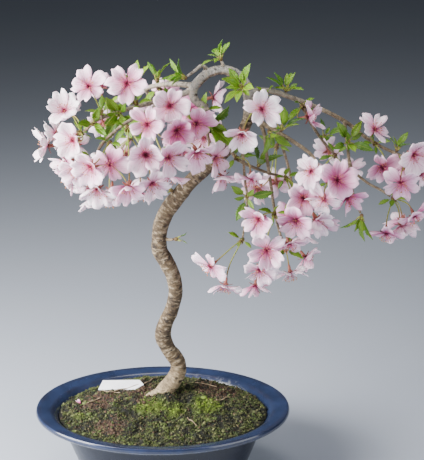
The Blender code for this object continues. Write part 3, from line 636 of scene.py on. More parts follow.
def bend_rod(rod: Template, route: Iterable[Sequence[float]],
             swell: Callable[[np.ndarray, np.ndarray], np.ndarray] | None = None) -> np.ndarray:
    """Lay a rod along a route of (x, y, z, radius).

    Args:
        rod: the straight rod.
        route: the points that it follows.
        swell: a factor on the radius from the turn and the share of the length, both arrays.

    Returns:
        The rod's points along the route.
    """
    rows = np.array([np.array(row, dtype=float) for row in route])
    steps = np.linalg.norm(np.diff(rows[:, :3], axis=0), axis=1)
    reach = np.concatenate([[0.0], np.cumsum(steps)]) / steps.sum()
    heading = np.gradient(rows[:, :3], axis=0)
    heading /= np.linalg.norm(heading, axis=1)[:, None]
    side = np.empty_like(heading)
    first = np.array((0.0, 1.0, 0.0)) if abs(heading[0][1]) < 0.9 else np.array((1.0, 0.0, 0.0))
    side[0] = unit(first - heading[0] * first.dot(heading[0]))
    for index in range(1, len(rows)):
        side[index] = unit(side[index - 1] - heading[index] * side[index - 1].dot(heading[index]))
    share = rod.points[:, 2].clip(0, 1)

    def along(values: np.ndarray) -> np.ndarray:
        """The values at each of the rod's points."""
        return np.column_stack([np.interp(share, reach, values[:, k]) for k in range(values.shape[1])])

    centre, here, across = along(rows), along(heading), along(side)
    over = np.cross(here, across)
    radius = centre[:, 3]
    if swell is not None:
        radius = radius * swell(rod.chart[:, 0], share)
    return centre[:, :3] + (across * rod.points[:, :1] + over * rod.points[:, 1:2]) * radius[:, None]


def place(shape: Template, origin: np.ndarray, axes: Sequence[np.ndarray], size: float) -> np.ndarray:
    """A template's points at a place, on three axes and at a size."""
    return origin + shape.points @ np.array(axes) * size


Colour = tuple[float, float, float, float]
Stops = tuple[tuple[float, Colour], ...]


def tone(red: int, green: int, blue: int) -> Colour:
    """A colour picked on the screen, from 0 to 255, as the linear colour that a shader takes."""
    scaled = (value / 255 for value in (red, green, blue))
    linear = [v / 12.92 if v <= 0.04045 else ((v + 0.055) / 1.055) ** 2.4 for v in scaled]
    return (linear[0], linear[1], linear[2], 1.0)


@dataclass
class Board:
    """A node tree with short ways to add nodes and to wire them."""

    tree: bpy.types.NodeTree

    def add(self, kind: str, inputs: dict[str | int, object] | None = None,
            **settings: object) -> bpy.types.Node:
        """Add a node.

        Args:
            kind: the node's type.
            inputs: a value, or a socket to link from, for each named input.
            settings: the node's own properties.

        Returns:
            The node.
        """
        node = self.tree.nodes.new(kind)
        for name, value in settings.items():
            setattr(node, name, value)
        for name, value in (inputs or {}).items():
            if isinstance(value, bpy.types.NodeSocket):
                self.tree.links.new(value, node.inputs[name])
            else:
                node.inputs[name].default_value = value
        return node

    def blend(self, share: object, first: object, second: object, mode: str = "MIX") -> bpy.types.NodeSocket:
        """Mix two colours by a share."""
        node = self.add("ShaderNodeMix", data_type="RGBA", blend_type=mode)
        for slot_index, value in ((0, share), (6, first), (7, second)):
            if isinstance(value, bpy.types.NodeSocket):
                self.tree.links.new(value, node.inputs[slot_index])
            else:
                node.inputs[slot_index].default_value = value
        return node.outputs[2]

    def sum(self, kind: str, *values: object) -> bpy.types.NodeSocket:
        """Work out one step of arithmetic."""
        return self.add("ShaderNodeMath", dict(enumerate(values)), operation=kind).outputs[0]

    def between(self, value: object, low: float, high: float, start: float = 0.0,
                end: float = 1.0) -> bpy.types.NodeSocket:
        """Spread the values from low to high over start to end, and hold them there outside it."""
        words = {"Value": value, "From Min": low, "From Max": high, "To Min": start, "To Max": end}
        return self.add("ShaderNodeMapRange", words).outputs["Result"]

    def ramp(self, share: bpy.types.NodeSocket, stops: Stops) -> bpy.types.NodeSocket:
        """A run of colours along a share."""
        node = self.add("ShaderNodeValToRGB", {"Fac": share})
        marks = node.color_ramp.elements
        while len(marks) < len(stops):
            marks.new(0.5)
        for mark, (position, colour) in zip(marks, stops):
            mark.position = position
            mark.color = colour
        return node.outputs["Color"]

    def place(self) -> bpy.types.NodeSocket:
        """The place on the object, in metres."""
        return self.add("ShaderNodeTexCoord").outputs["Object"]

    def chart(self) -> tuple[bpy.types.NodeSocket, bpy.types.NodeSocket, bpy.types.NodeSocket,
                             bpy.types.NodeSocket]:
        """The pattern values that a batch stores: all of them, then each of the three."""
        read = self.add("ShaderNodeAttribute", attribute_name="chart").outputs["Vector"]
        parts = self.add("ShaderNodeSeparateXYZ", {"Vector": read}).outputs
        return read, parts[0], parts[1], parts[2]


@dataclass
class Effects:
    """The node groups that several finishes share, each built once."""

    built: dict[str, bpy.types.NodeTree] = field(default_factory=dict)

    def start(self, name: str, inputs: dict[str, object],
              outputs: dict[str, str]) -> tuple[Board, object, object]:
        """Open a new group with its sockets.

        Args:
            name: the group's name.
            inputs: each input's default value; a triple makes a vector and a quadruple a colour.
            outputs: each output's socket type.

        Returns:
            The group's board, its input node and its output node.
        """
        tree = bpy.data.node_groups.new(name, "ShaderNodeTree")
        for word, value in inputs.items():
            kind = "NodeSocketFloat"
            if isinstance(value, tuple):
                kind = "NodeSocketVector" if len(value) == 3 else "NodeSocketColor"
            socket = tree.interface.new_socket(word, in_out="INPUT", socket_type=kind)
            socket.default_value = value
        for word, kind in outputs.items():
            tree.interface.new_socket(word, in_out="OUTPUT", socket_type=kind)
        board = Board(tree)
        self.built[name] = tree
        return board, board.add("NodeGroupInput"), board.add("NodeGroupOutput")

    def mottle(self) -> bpy.types.NodeTree:
        """Soft patches: 0 to 1 between two levels of a noise."""
        if "mottle" not in self.built:
            inputs = {"Place": (0.0, 0.0, 0.0), "Scale": 100.0, "Detail": 3.0, "Low": 0.4, "High": 0.6}
            board, given, result = self.start("mottle", inputs, {"Patches": "NodeSocketFloat"})
            fog = board.add("ShaderNodeTexNoise", {"Vector": given.outputs["Place"],
                                                   "Scale": given.outputs["Scale"],
                                                   "Detail": given.outputs["Detail"]})
            spread = board.add("ShaderNodeMapRange", {"Value": fog.outputs["Fac"],
                                                      "From Min": given.outputs["Low"],
                                                      "From Max": given.outputs["High"]})
            board.tree.links.new(spread.outputs["Result"], result.inputs["Patches"])
        return self.built["mottle"]

    def relief(self) -> bpy.types.NodeTree:
        """Fine unevenness: a normal bent by a noise."""
        if "relief" not in self.built:
            inputs = {"Place": (0.0, 0.0, 0.0), "Scale": 800.0, "Strength": 0.3, "Depth": 0.0003}
            board, given, result = self.start("relief", inputs, {"Normal": "NodeSocketVector"})
            fog = board.add("ShaderNodeTexNoise", {"Vector": given.outputs["Place"],
                                                   "Scale": given.outputs["Scale"], "Detail": 4.0})
            bump = board.add("ShaderNodeBump", {"Height": fog.outputs["Fac"],
                                                "Strength": given.outputs["Strength"],
                                                "Distance": given.outputs["Depth"]})
            board.tree.links.new(bump.outputs["Normal"], result.inputs["Normal"])
        return self.built["relief"]

    def region(self) -> bpy.types.NodeTree:
        """A soft-edged area: 1 within a radius of a place and 0 beyond it, with an uneven outline."""
        if "region" not in self.built:
            inputs = {"Place": (0.0, 0.0, 0.0), "Centre": (0.0, 0.0, 0.0), "Radius": 0.02, "Fade": 0.01,
                      "Unevenness": 0.01}
            board, given, result = self.start("region", inputs, {"Area": "NodeSocketFloat"})
            apart = board.add("ShaderNodeVectorMath", {0: given.outputs["Place"], 1: given.outputs["Centre"]},
                              operation="DISTANCE").outputs["Value"]
            fog = board.add("ShaderNodeTexNoise", {"Vector": given.outputs["Place"], "Scale": 110.0,
                                                   "Detail": 3.0}).outputs["Fac"]
            wander = board.sum("MULTIPLY", board.sum("SUBTRACT", fog, 0.5), given.outputs["Unevenness"])
            inside = board.sum("SUBTRACT", given.outputs["Radius"], board.sum("ADD", apart, wander))
            share = board.add("ShaderNodeMath", {0: inside, 1: given.outputs["Fade"]}, operation="DIVIDE",
                              use_clamp=True)
            board.tree.links.new(share.outputs[0], result.inputs["Area"])
        return self.built["region"]


@dataclass
class Palette:
    """The finishes, each made into a material when it is first asked for."""

    effects: Effects = field(default_factory=Effects)
    made: dict[str, bpy.types.Material] = field(default_factory=dict)

    def get(self, finish: "Finish") -> bpy.types.Material:
        """The material of a finish."""
        if finish.name not in self.made:
            material = bpy.data.materials.new(finish.name)
            material.use_nodes = True
            board = Board(material.node_tree)
            shader = board.tree.nodes["Principled BSDF"]
            finish.wire(board, shader, self.effects)
            self.made[finish.name] = material
        return self.made[finish.name]


@dataclass(frozen=True)
class Finish:
    """A surface's colour and how it takes the light."""

    name: str
    roughness: float

    def wire(self, board: Board, shader: bpy.types.Node, effects: Effects) -> None:
        """Build the finish's nodes up to the shader."""
        shader.inputs["Roughness"].default_value = self.roughness

    @staticmethod
    def patches(board: Board, effects: Effects, place: bpy.types.NodeSocket, scale: float, low: float,
                high: float, detail: float = 3.0) -> bpy.types.NodeSocket:
        """Soft patches of the shared kind."""
        node = board.add("ShaderNodeGroup", node_tree=effects.mottle())
        board.tree.links.new(place, node.inputs["Place"])
        for word, value in (("Scale", scale), ("Detail", detail), ("Low", low), ("High", high)):
            node.inputs[word].default_value = value
        return node.outputs["Patches"]

    @staticmethod
    def uneven(board: Board, effects: Effects, shader: bpy.types.Node, place: bpy.types.NodeSocket,
               scale: float, strength: float, depth: float) -> None:
        """Give the shader the shared unevenness."""
        node = board.add("ShaderNodeGroup", node_tree=effects.relief())
        board.tree.links.new(place, node.inputs["Place"])
        for word, value in (("Scale", scale), ("Strength", strength), ("Depth", depth)):
            node.inputs[word].default_value = value
        board.tree.links.new(node.outputs["Normal"], shader.inputs["Normal"])

    @staticmethod
    def area(board: Board, effects: Effects, place: bpy.types.NodeSocket, centre: Sequence[float],
             radius: float, fade: float, unevenness: float) -> bpy.types.NodeSocket:
        """An area of the shared kind, its sizes in millimetres."""
        node = board.add("ShaderNodeGroup", node_tree=effects.region())
        board.tree.links.new(place, node.inputs["Place"])
        node.inputs["Centre"].default_value = [value * MM for value in centre]
        for word, value in (("Radius", radius), ("Fade", fade), ("Unevenness", unevenness)):
            node.inputs[word].default_value = value * MM
        return node.outputs["Area"]


@dataclass(frozen=True)
class PetalFinish(Finish):
    """Silky petal: deep pink at its foot, paler outwards, with fine veins along it."""

    rich: Stops
    pale: Stops
    vein: Colour
    glow: float

    def wire(self, board: Board, shader: bpy.types.Node, effects: Effects) -> None:
        """The chart holds the place across, the place outwards and how rich the blossom's colour is; that
        last value also carries painted light, paler where the lights fall strongest.
        """
        super().wire(board, shader, effects)
        _, across, outward, pinkness_with_painted_light = board.chart()
        colour = board.blend(pinkness_with_painted_light, board.ramp(outward, self.pale), board.ramp(outward, self.rich))
        strip = board.add("ShaderNodeCombineXYZ", {"X": board.sum("MULTIPLY", across, 6.0),
                                                   "Y": board.sum("MULTIPLY", outward, 1.3),
                                                   "Z": board.sum("MULTIPLY", pinkness_with_painted_light, 53.0)}).outputs[0]
        veins = self.patches(board, effects, strip, 1.4, 0.48, 0.66)
        share = board.sum("MULTIPLY", veins, board.between(outward, 0.15, 0.95, 0.72, 0.22))
        board.tree.links.new(board.blend(share, colour, self.vein, "MULTIPLY"), shader.inputs["Base Color"])
        shader.inputs["Subsurface Weight"].default_value = self.glow
        shader.inputs["Subsurface Radius"].default_value = (1.0, 0.6, 0.7)
        shader.inputs["Subsurface Scale"].default_value = 0.0012
        shader.inputs["Specular IOR Level"].default_value = 0.25


@dataclass(frozen=True)
class StemFinish(Finish):
    """A stalk, filament or sepal: one run of colours along it, with faint mottling."""

    stops: Stops
    shade: Colour

    def wire(self, board: Board, shader: bpy.types.Node, effects: Effects) -> None:
        """The chart's second value is the share of the length."""
        super().wire(board, shader, effects)
        _, _, along, _ = board.chart()
        patches = self.patches(board, effects, board.place(), 420.0, 0.35, 0.75)
        share = board.sum("MULTIPLY", patches, 0.55)
        colour = board.blend(share, board.ramp(along, self.stops), self.shade, "MULTIPLY")
        board.tree.links.new(colour, shader.inputs["Base Color"])


@dataclass(frozen=True)
class LeafFinish(Finish):
    """A young leaf: a pale rib and side veins on yellow-green that varies from leaf to leaf."""

    bright: Colour
    deep: Colour
    bronze: Colour
    vein: Colour
    side_veins: float

    def wire(self, board: Board, shader: bpy.types.Node, effects: Effects) -> None:
        """The chart holds the place across, the place along and the leaf's own tint."""
        super().wire(board, shader, effects)
        _, across, along, tint = board.chart()
        side = board.sum("ABSOLUTE", across)
        patches = self.patches(board, effects, board.place(), 190.0, 0.38, 0.62)
        colour = board.blend(tint, self.bright, self.deep)
        colour = board.blend(board.sum("MULTIPLY", patches, 0.35), colour, self.deep)
        rim = board.sum("MULTIPLY", board.between(side, 0.72, 1.0), board.between(tint, 0.5, 0.0, 0.0, 0.55))
        colour = board.blend(rim, colour, self.bronze)
        slant = board.sum("SUBTRACT", board.sum("MULTIPLY", along, self.side_veins),
                          board.sum("MULTIPLY", side, 1.9))
        ridge = board.sum("ABSOLUTE", board.sum("SUBTRACT", board.sum("FRACT", slant), 0.5))
        lines = board.sum("MULTIPLY", board.between(ridge, 0.1, 0.0), 0.55)
        rib = board.between(side, 0.09, 0.02)
        share = board.sum("MAXIMUM", lines, rib)
        colour = board.blend(board.sum("MULTIPLY", share, 0.6), colour, self.vein)
        board.tree.links.new(colour, shader.inputs["Base Color"])
        height = board.sum("MULTIPLY", share, -1.0)
        bump = board.add("ShaderNodeBump", {"Height": height, "Strength": 0.5, "Distance": 0.0004})
        board.tree.links.new(bump.outputs["Normal"], shader.inputs["Normal"])
        shader.inputs["Subsurface Weight"].default_value = 0.12
        shader.inputs["Subsurface Radius"].default_value = (0.5, 0.9, 0.2)
        shader.inputs["Subsurface Scale"].default_value = 0.001


@dataclass(frozen=True)
class BarkFinish(Finish):
    """Cherry bark: grey-brown with pale and dark bands round the wood, paler at the foot, with painted shade
    where it faces down near the top.
    """

    base: Colour
    light: Colour
    dark: Colour
    foot: Colour
    top: Colour
    # the colour of the painted shade under the looped top
    underside_shade_colour: Colour
    foot_height: float
    top_height: float

    def wire(self, board: Board, shader: bpy.types.Node, effects: Effects) -> None:
        """The chart holds how far the bark faces down, the distance along in cm and the thickness."""
        super().wire(board, shader, effects)
        _, under, along, thick = board.chart()
        place = board.place()
        bands = board.add("ShaderNodeTexNoise", {"Vector": place, "W": board.sum("MULTIPLY", along, 0.022),
                                                 "Scale": 190.0, "Detail": 7.0,
                                                 "Roughness": 0.62}, noise_dimensions="4D")
        fine = board.add("ShaderNodeTexNoise", {"Vector": place, "W": board.sum("MULTIPLY", along, 0.02),
                                                "Scale": 170.0, "Detail": 3.0}, noise_dimensions="4D")
        height = board.add("ShaderNodeSeparateXYZ", {"Vector": place}).outputs["Z"]
        patches = self.patches(board, effects, place, 70.0, 0.42, 0.7)
        colour = board.blend(board.sum("MULTIPLY", patches, 0.6), self.base, self.dark)
        low = self.foot_height * MM
        base_share = board.between(height, low + 0.035, low, 0.0, 0.75)
        colour = board.blend(base_share, colour, self.foot)
        high = self.top_height * MM
        lofty = board.between(height, high - 0.03, high, 0.0, 0.8)
        colour = board.blend(lofty, colour, self.top)
        # painted shade: near the top, the bark that faces down, under the loop, is darkened
        underside_shade_share = board.sum("MULTIPLY", lofty, board.between(under, 0.05, 0.45))
        colour = board.blend(underside_shade_share, colour, self.underside_shade_colour)
        pale_bands = board.between(bands.outputs["Fac"], 0.5, 0.68, 0.0, 0.7)
        colour = board.blend(pale_bands, colour, self.light)
        dark_bands = board.between(bands.outputs["Fac"], 0.47, 0.34, 0.0, 0.7)
        colour = board.blend(dark_bands, colour, self.dark)
        slender = board.between(thick, 0.42, 0.22, 0.0, 0.22)
        colour = board.blend(slender, colour, self.light)
        pores = board.between(fine.outputs["Fac"], 0.61, 0.65, 0.0, 0.9)
        colour = board.blend(board.sum("MULTIPLY", pores, board.between(thick, 0.1, 0.4)), colour, self.dark)
        board.tree.links.new(colour, shader.inputs["Base Color"])
        total = board.sum("ADD", board.sum("MULTIPLY", bands.outputs["Fac"], 1.4),
                          board.sum("MULTIPLY", fine.outputs["Fac"], 0.5))
        bump = board.add("ShaderNodeBump", {"Height": total, "Strength": 1.0, "Distance": 0.0022})
        board.tree.links.new(bump.outputs["Normal"], shader.inputs["Normal"])


@dataclass(frozen=True)
class GlazeFinish(Finish):
    """Deep blue glaze that thins to brown at the lip's edges, the outer edge's band widened and darkened as
    painted shade, with painted shadow on the wall under the lip and lime on the lip's inside at the back.
    """

    base: Colour
    deep: Colour
    # thinned glaze at the lip's edges, and painted shade in the wide band along the outer edge
    thin: Colour
    lime: Colour
    shade: Colour
    edges: tuple[float, ...]

    def wire(self, board: Board, shader: bpy.types.Node, effects: Effects) -> None:
        """The chart's second value is the share of the way round the wall's section."""
        super().wire(board, shader, effects)
        _, _, section, _ = board.chart()
        place = board.place()
        patches = self.patches(board, effects, place, 38.0, 0.35, 0.68)
        colour = board.blend(patches, self.base, self.deep)
        specks = self.patches(board, effects, place, 900.0, 0.62, 0.72, 1.0)
        colour = board.blend(board.sum("MULTIPLY", specks, 0.35), colour, self.deep)
        worn = self.patches(board, effects, place, 75.0, 0.3, 0.6)
        # the outer edge's band is wide and always strong: thinned glaze with painted shade along the
        # underside of the lip; the inner edges are thinned glaze only
        for edge in self.edges:
            off = board.sum("ABSOLUTE", board.sum("SUBTRACT", section, edge))
            outer = edge == self.edges[0]
            wear_and_edge_shade = board.between(worn, 0.0, 1.0, 0.5 if outer else 0.0, 0.9 if outer else 0.3)
            reach = 0.034 if outer else 0.01
            line = board.sum("MULTIPLY", board.between(off, reach, reach * 0.4), wear_and_edge_shade)
            colour = board.blend(line, colour, self.thin)
        # painted shadow: the wall below the lip is darkened almost to black
        wall = board.between(section, self.edges[0] + 0.012, self.edges[0] - 0.02)
        colour = board.blend(board.sum("MULTIPLY", wall, 0.85), colour, self.shade)
        back = self.area(board, effects, place, (52.0, 62.0, 59.0), 30.0, 22.0, 40.0)
        inside = board.between(section, self.edges[-1] - 0.01, self.edges[-1] + 0.005)
        lime = board.sum("MULTIPLY", board.sum("MULTIPLY", back, inside),
                         self.patches(board, effects, place, 240.0, 0.56, 0.85, 5.0))
        colour = board.blend(lime, colour, self.lime)
        board.tree.links.new(colour, shader.inputs["Base Color"])
        board.tree.links.new(board.between(lime, 0.0, 1.0, self.roughness, 0.75), shader.inputs["Roughness"])
        board.tree.links.new(board.between(wall, 0.0, 1.0, 0.4, 0.0), shader.inputs["Coat Weight"])
        shader.inputs["Coat Roughness"].default_value = 0.12
        self.uneven(board, effects, shader, place, 130.0, 0.25, 0.0009)


@dataclass(frozen=True)
class GroundFinish(Finish):
    """Soil under its moss: green and dark brown by place, with brighter moss before the trunk."""

    moss: Colour
    dark_moss: Colour
    bright: Colour
    earth: Colour
    litter: Colour
    bare_places: tuple[tuple[float, float, float, float], ...]
    bright_places: tuple[tuple[float, float, float, float], ...]
    chart_tint: bool

    def wire(self, board: Board, shader: bpy.types.Node, effects: Effects) -> None:
        """Each place is its centre and radius in millimetres."""
        super().wire(board, shader, effects)
        place = board.place()
        shades = self.patches(board, effects, place, 125.0, 0.42, 0.56, 4.0)
        colour = board.blend(shades, self.moss, self.dark_moss)
        for x, y, z, radius in self.bright_places:
            spot = self.area(board, effects, place, (x, y, z), radius, 7.0, 14.0)
            colour = board.blend(spot, colour, self.bright)
        if not self.chart_tint:
            for x, y, z, radius in self.bare_places:
                spot = self.area(board, effects, place, (x, y, z), radius, 8.0, 24.0)
                bits = self.patches(board, effects, place, 420.0, 0.42, 0.6, 4.0)
                colour = board.blend(spot, colour, board.blend(bits, self.earth, self.litter))
            grit = self.patches(board, effects, place, 650.0, 0.52, 0.66, 4.0)
            colour = board.blend(board.sum("MULTIPLY", grit, 0.75), colour, self.earth)
        else:
            _, _, along, tint = board.chart()
            colour = board.blend(tint, colour, self.litter)
            foot = board.between(along, 0.0, 0.8, 0.75, 0.0)
            colour = board.blend(foot, colour, self.earth)
        board.tree.links.new(colour, shader.inputs["Base Color"])
        self.uneven(board, effects, shader, place, 900.0, 0.8, 0.0012)


@dataclass(frozen=True)
class PlainFinish(Finish):
    """One colour with faint darker patches."""

    colour: Colour
    stain: Colour
    patch_scale: float
    grain_depth: float
    metallic: float = 0.0

    def wire(self, board: Board, shader: bpy.types.Node, effects: Effects) -> None:
        """The patches and the grain follow the place on the object."""
        super().wire(board, shader, effects)
        place = board.place()
        patches = self.patches(board, effects, place, self.patch_scale, 0.45, 0.75)
        board.tree.links.new(board.blend(patches, self.colour, self.stain), shader.inputs["Base Color"])
        shader.inputs["Metallic"].default_value = self.metallic
        if self.grain_depth:
            self.uneven(board, effects, shader, place, 1400.0, 0.4, self.grain_depth)


PETAL = PetalFinish(
    "petal", 0.6,
    rich=((0.0, tone(92, 10, 48)), (0.09, tone(132, 30, 80)), (0.22, tone(176, 70, 122)),
          (0.45, tone(206, 118, 164)), (0.78, tone(236, 180, 208)), (1.0, tone(244, 200, 220))),
    pale=((0.0, tone(132, 36, 66)), (0.07, tone(178, 88, 120)), (0.18, tone(226, 168, 192)),
          (0.36, tone(246, 218, 230)), (0.75, tone(254, 244, 248)), (1.0, tone(253, 236, 243))),
    vein=tone(196, 96, 152), glow=0.2)
FILAMENT = StemFinish("filament", 0.55, ((0.0, tone(178, 56, 100)), (1.0, tone(220, 128, 156))),
                      tone(210, 150, 170))
ANTHER = StemFinish("anther", 0.7, ((0.0, tone(176, 104, 84)), (1.0, tone(206, 150, 96))),
                    tone(170, 110, 100))
STALK = StemFinish("stalk", 0.5, ((0.0, tone(136, 150, 50)), (0.6, tone(156, 164, 66)),
                                  (1.0, tone(140, 104, 66))), tone(190, 190, 120))
CALYX = StemFinish("calyx", 0.6, ((0.0, tone(142, 76, 62)), (0.5, tone(160, 98, 80)),
                                  (1.0, tone(134, 68, 66))), tone(170, 130, 118))
BUD_SCALE = StemFinish("bud_scale", 0.75, ((0.0, tone(92, 62, 40)), (1.0, tone(128, 112, 60))),
                       tone(120, 90, 70))
LEAF = LeafFinish("leaf", 0.42, bright=tone(120, 160, 24), deep=tone(58, 102, 10),
                  bronze=tone(132, 90, 36), vein=tone(166, 190, 76), side_veins=9.0)
BARK = BarkFinish("bark", 0.8, base=tone(97, 79, 55), light=tone(200, 180, 149), dark=tone(36, 26, 19),
                  foot=tone(206, 184, 146), top=tone(184, 180, 174), underside_shade_colour=tone(80, 54, 38),
                  foot_height=60.0, top_height=334.0)
GLAZE = GlazeFinish("glaze", 0.22, base=tone(42, 54, 84), deep=tone(30, 39, 62), thin=tone(44, 38, 38),
                    lime=tone(120, 128, 136), shade=tone(12, 12, 19), edges=(0.40, 0.50))
BARE_PLACES = ((-22.0, 22.0, 68.0, 16.0), (44.0, 26.0, 65.0, 19.0), (-54.0, 6.0, 63.0, 16.0),
               (-42.0, -32.0, 60.0, 14.0), (-18.0, 6.0, 68.0, 9.0))
BRIGHT_PLACES = ((-10.0, -8.0, 67.0, 14.0), (36.0, -4.0, 65.0, 15.0), (10.0, -14.0, 64.0, 11.0),
                 (-68.0, -14.0, 58.0, 7.0))
GROUND = GroundFinish("ground", 0.95, moss=tone(38, 43, 19), dark_moss=tone(16, 17, 10),
                      bright=tone(68, 84, 16), earth=tone(26, 19, 15), litter=tone(84, 58, 42),
                      bare_places=BARE_PLACES, bright_places=BRIGHT_PLACES, chart_tint=False)
MOSS = GroundFinish("moss", 0.85, moss=tone(78, 94, 38), dark_moss=tone(19, 29, 13),
                    bright=tone(104, 130, 20), earth=tone(22, 19, 12), litter=tone(128, 124, 80),
                    bare_places=BARE_PLACES, bright_places=BRIGHT_PLACES, chart_tint=True)
CRUMB = PlainFinish("crumb", 0.95, colour=tone(82, 62, 46), stain=tone(42, 33, 26),
                    patch_scale=240.0, grain_depth=0.0006)
DEAD_TWIG = PlainFinish("dead_twig", 0.9, colour=tone(146, 128, 102), stain=tone(92, 76, 58),
                        patch_scale=300.0, grain_depth=0.0004)
LABEL = PlainFinish("label", 0.42, colour=tone(248, 249, 252), stain=tone(226, 227, 232),
                    patch_scale=60.0, grain_depth=0.0)
SCREEN = PlainFinish("screen", 0.6, colour=tone(42, 44, 46), stain=tone(28, 28, 30),
                     patch_scale=200.0, grain_depth=0.0)
FLOOR = PlainFinish("floor", 0.9, colour=tone(174, 181, 193), stain=tone(171, 179, 191),
                    patch_scale=2.0, grain_depth=0.0)

POT_OVAL = 82.0 / 105.0
POT_OUTSIDE = [(64, 0), (66, 2), (70, 14), (75, 27), (80, 40), (86, 53.5), (96, 55.5), (103, 58)]
POT_ROLL = [(105, 60), (104.6, 62.4), (102.6, 63)]
POT_INSIDE = [(91.5, 61), (88, 58), (83.6, 52), (79, 44), (73, 30), (66, 14), (60, 8)]
DRAIN_HOLE_RADIUS = 7.0
DRAIN_HOLE_OFFSET = 32.0
SOIL_SIDE = [(59.4, 8.4), (65.5, 14), (72.5, 30), (78.5, 44), (82.7, 51.6), (86.3, 56.6)]
SOIL_EDGE_HEIGHT = 57.2
SOIL_MOUND = 9.5
SOIL_LEAN = 12.5
MOSS_RELIEF = 2.2
MOSS_GRAIN = 0.085
LABEL_LENGTH = 40.0
LABEL_WIDTH = 12.5
LABEL_THICK = 0.9
LABEL_POINT = 6.0
LABEL_CENTRE = (-35.6, 29.0, 68.4)
LABEL_TILT = (16.0, -8.5, -18.0)
FALLEN_PETAL = (-68.5, 3.0)


def model_blade(columns: int, rows: int, thick: float,
                form: Callable[[float, float], tuple[float, float, float]]) -> Template:
    """A thin closed blade, such as a petal or a leaf.

    Args:
        columns: how many faces across.
        rows: how many faces along.
        thick: its thickness, in its own length.
        form: the place of a point from its share across, -1 to 1, and its share along, 0 to 1.

    Returns:
        The blade; its chart holds the two shares.
    """
    alone()
    bpy.ops.mesh.primitive_grid_add(x_subdivisions=columns, y_subdivisions=rows, size=2.0)
    blade = fresh("blade")
    bpy.ops.object.mode_set(mode="EDIT")
    work = bmesh.from_edit_mesh(blade.data)
    shares = [(vert.co.x, (vert.co.y + 1) / 2) for vert in work.verts]
    for vert, (across, along) in zip(work.verts, shares):
        vert.co = form(across, along)
    bmesh.update_edit_mesh(blade.data)
    bpy.ops.object.mode_set(mode="OBJECT")
    one_side = len(blade.data.polygons)
    wall = blade.modifiers.new("wall", "SOLIDIFY")
    wall.thickness = thick
    wall.offset = 0.0
    apply_modifiers(blade)
    shape = take_template(blade, np.array(shares * 2))
    return shape._replace(rim=len(shape.faces) - 2 * one_side)


def model_ball(detail: int, stretch: tuple[float, float, float]) -> Template:
    """A ball, stretched or flattened."""
    alone()
    bpy.ops.mesh.primitive_ico_sphere_add(subdivisions=detail, radius=1.0)
    ball = fresh("ball")
    bpy.ops.object.mode_set(mode="EDIT")
    bpy.ops.mesh.select_all(action="SELECT")
    bpy.ops.transform.resize(value=stretch)
    bpy.ops.object.mode_set(mode="OBJECT")
    shape = take_template(ball)
    heights = shape.points[:, 2] / stretch[2] / 2 + 0.5
    return shape._replace(chart=np.column_stack([np.zeros(len(heights)), heights]))


def model_spike() -> Template:
    """A thin three-sided spike along +Z, from 0 to 1."""
    alone()
    bpy.ops.mesh.primitive_cone_add(vertices=3, radius1=0.16, radius2=0.0, depth=1.0, location=(0, 0, 0.5))
    spike = fresh("spike")
    bpy.ops.object.transform_apply(location=True, rotation=True, scale=True)
    shape = take_template(spike)
    return shape._replace(chart=np.column_stack([np.zeros(len(shape.points)), shape.points[:, 2]]))


class PetalForm(Enum):
    """The petal shapes: how deep the notch is, how much the edge waves and how far one side is lifted."""

    CALM = (0.11, 0.018, 0.03, 0.4)
    WAVY = (0.14, 0.036, 0.035, 2.1)
    NOTCHED = (0.19, 0.026, 0.045, 3.6)
    ROUND = (0.06, 0.03, 0.025, 5.2)


@dataclass
class PetalShape:
    """One petal of a blossom of radius one: narrow at its foot, broad, notched and slightly cupped."""

    kind: PetalForm
    half_width: float = 0.345
    widest: float = 0.68
    thick: float = 0.014

    def point(self, across: float, along: float) -> tuple[float, float, float]:
        """A point of the petal: across it is X, outwards is Y, and the way the blossom faces is Z."""
        notch, wave, lean, phase = self.kind.value
        if along <= self.widest:
            width = math.sin(math.pi / 2 * along / self.widest) ** 1.35
        else:
            width = math.cos(math.pi / 2 * (along - self.widest) / 0.46) ** 0.5
        x = across * (0.05 + self.half_width * width)
        far = max(0.0, (along - 0.5) / 0.5)
        dip = notch * math.exp(-(x / 0.075) ** 2) * far ** 2
        shoulder = 0.09 * far ** 2 * (x / self.half_width) ** 2
        tatter = 0.04 * far ** 3 * math.sin(9 * across + 2 * phase)
        y = 0.03 + 0.97 * along * (1 - dip - shoulder + tatter)
        reach = math.hypot(x, y)
        ruffle = wave * far * math.sin(7.0 * across + phase) + wave * 0.8 * far * math.sin(6 * along + phase)
        crease = -0.03 * math.exp(-(x / 0.06) ** 2) * math.sin(math.pi * along)
        hollow = BLOOM_CUP * reach ** 2 + 0.08 * (x / self.half_width) ** 2
        z = hollow + lean * across * along + ruffle + crease
        return x, y, z

    def model(self) -> Template:
        """Model the petal."""
        return model_blade(4, 5, self.thick, self.point)


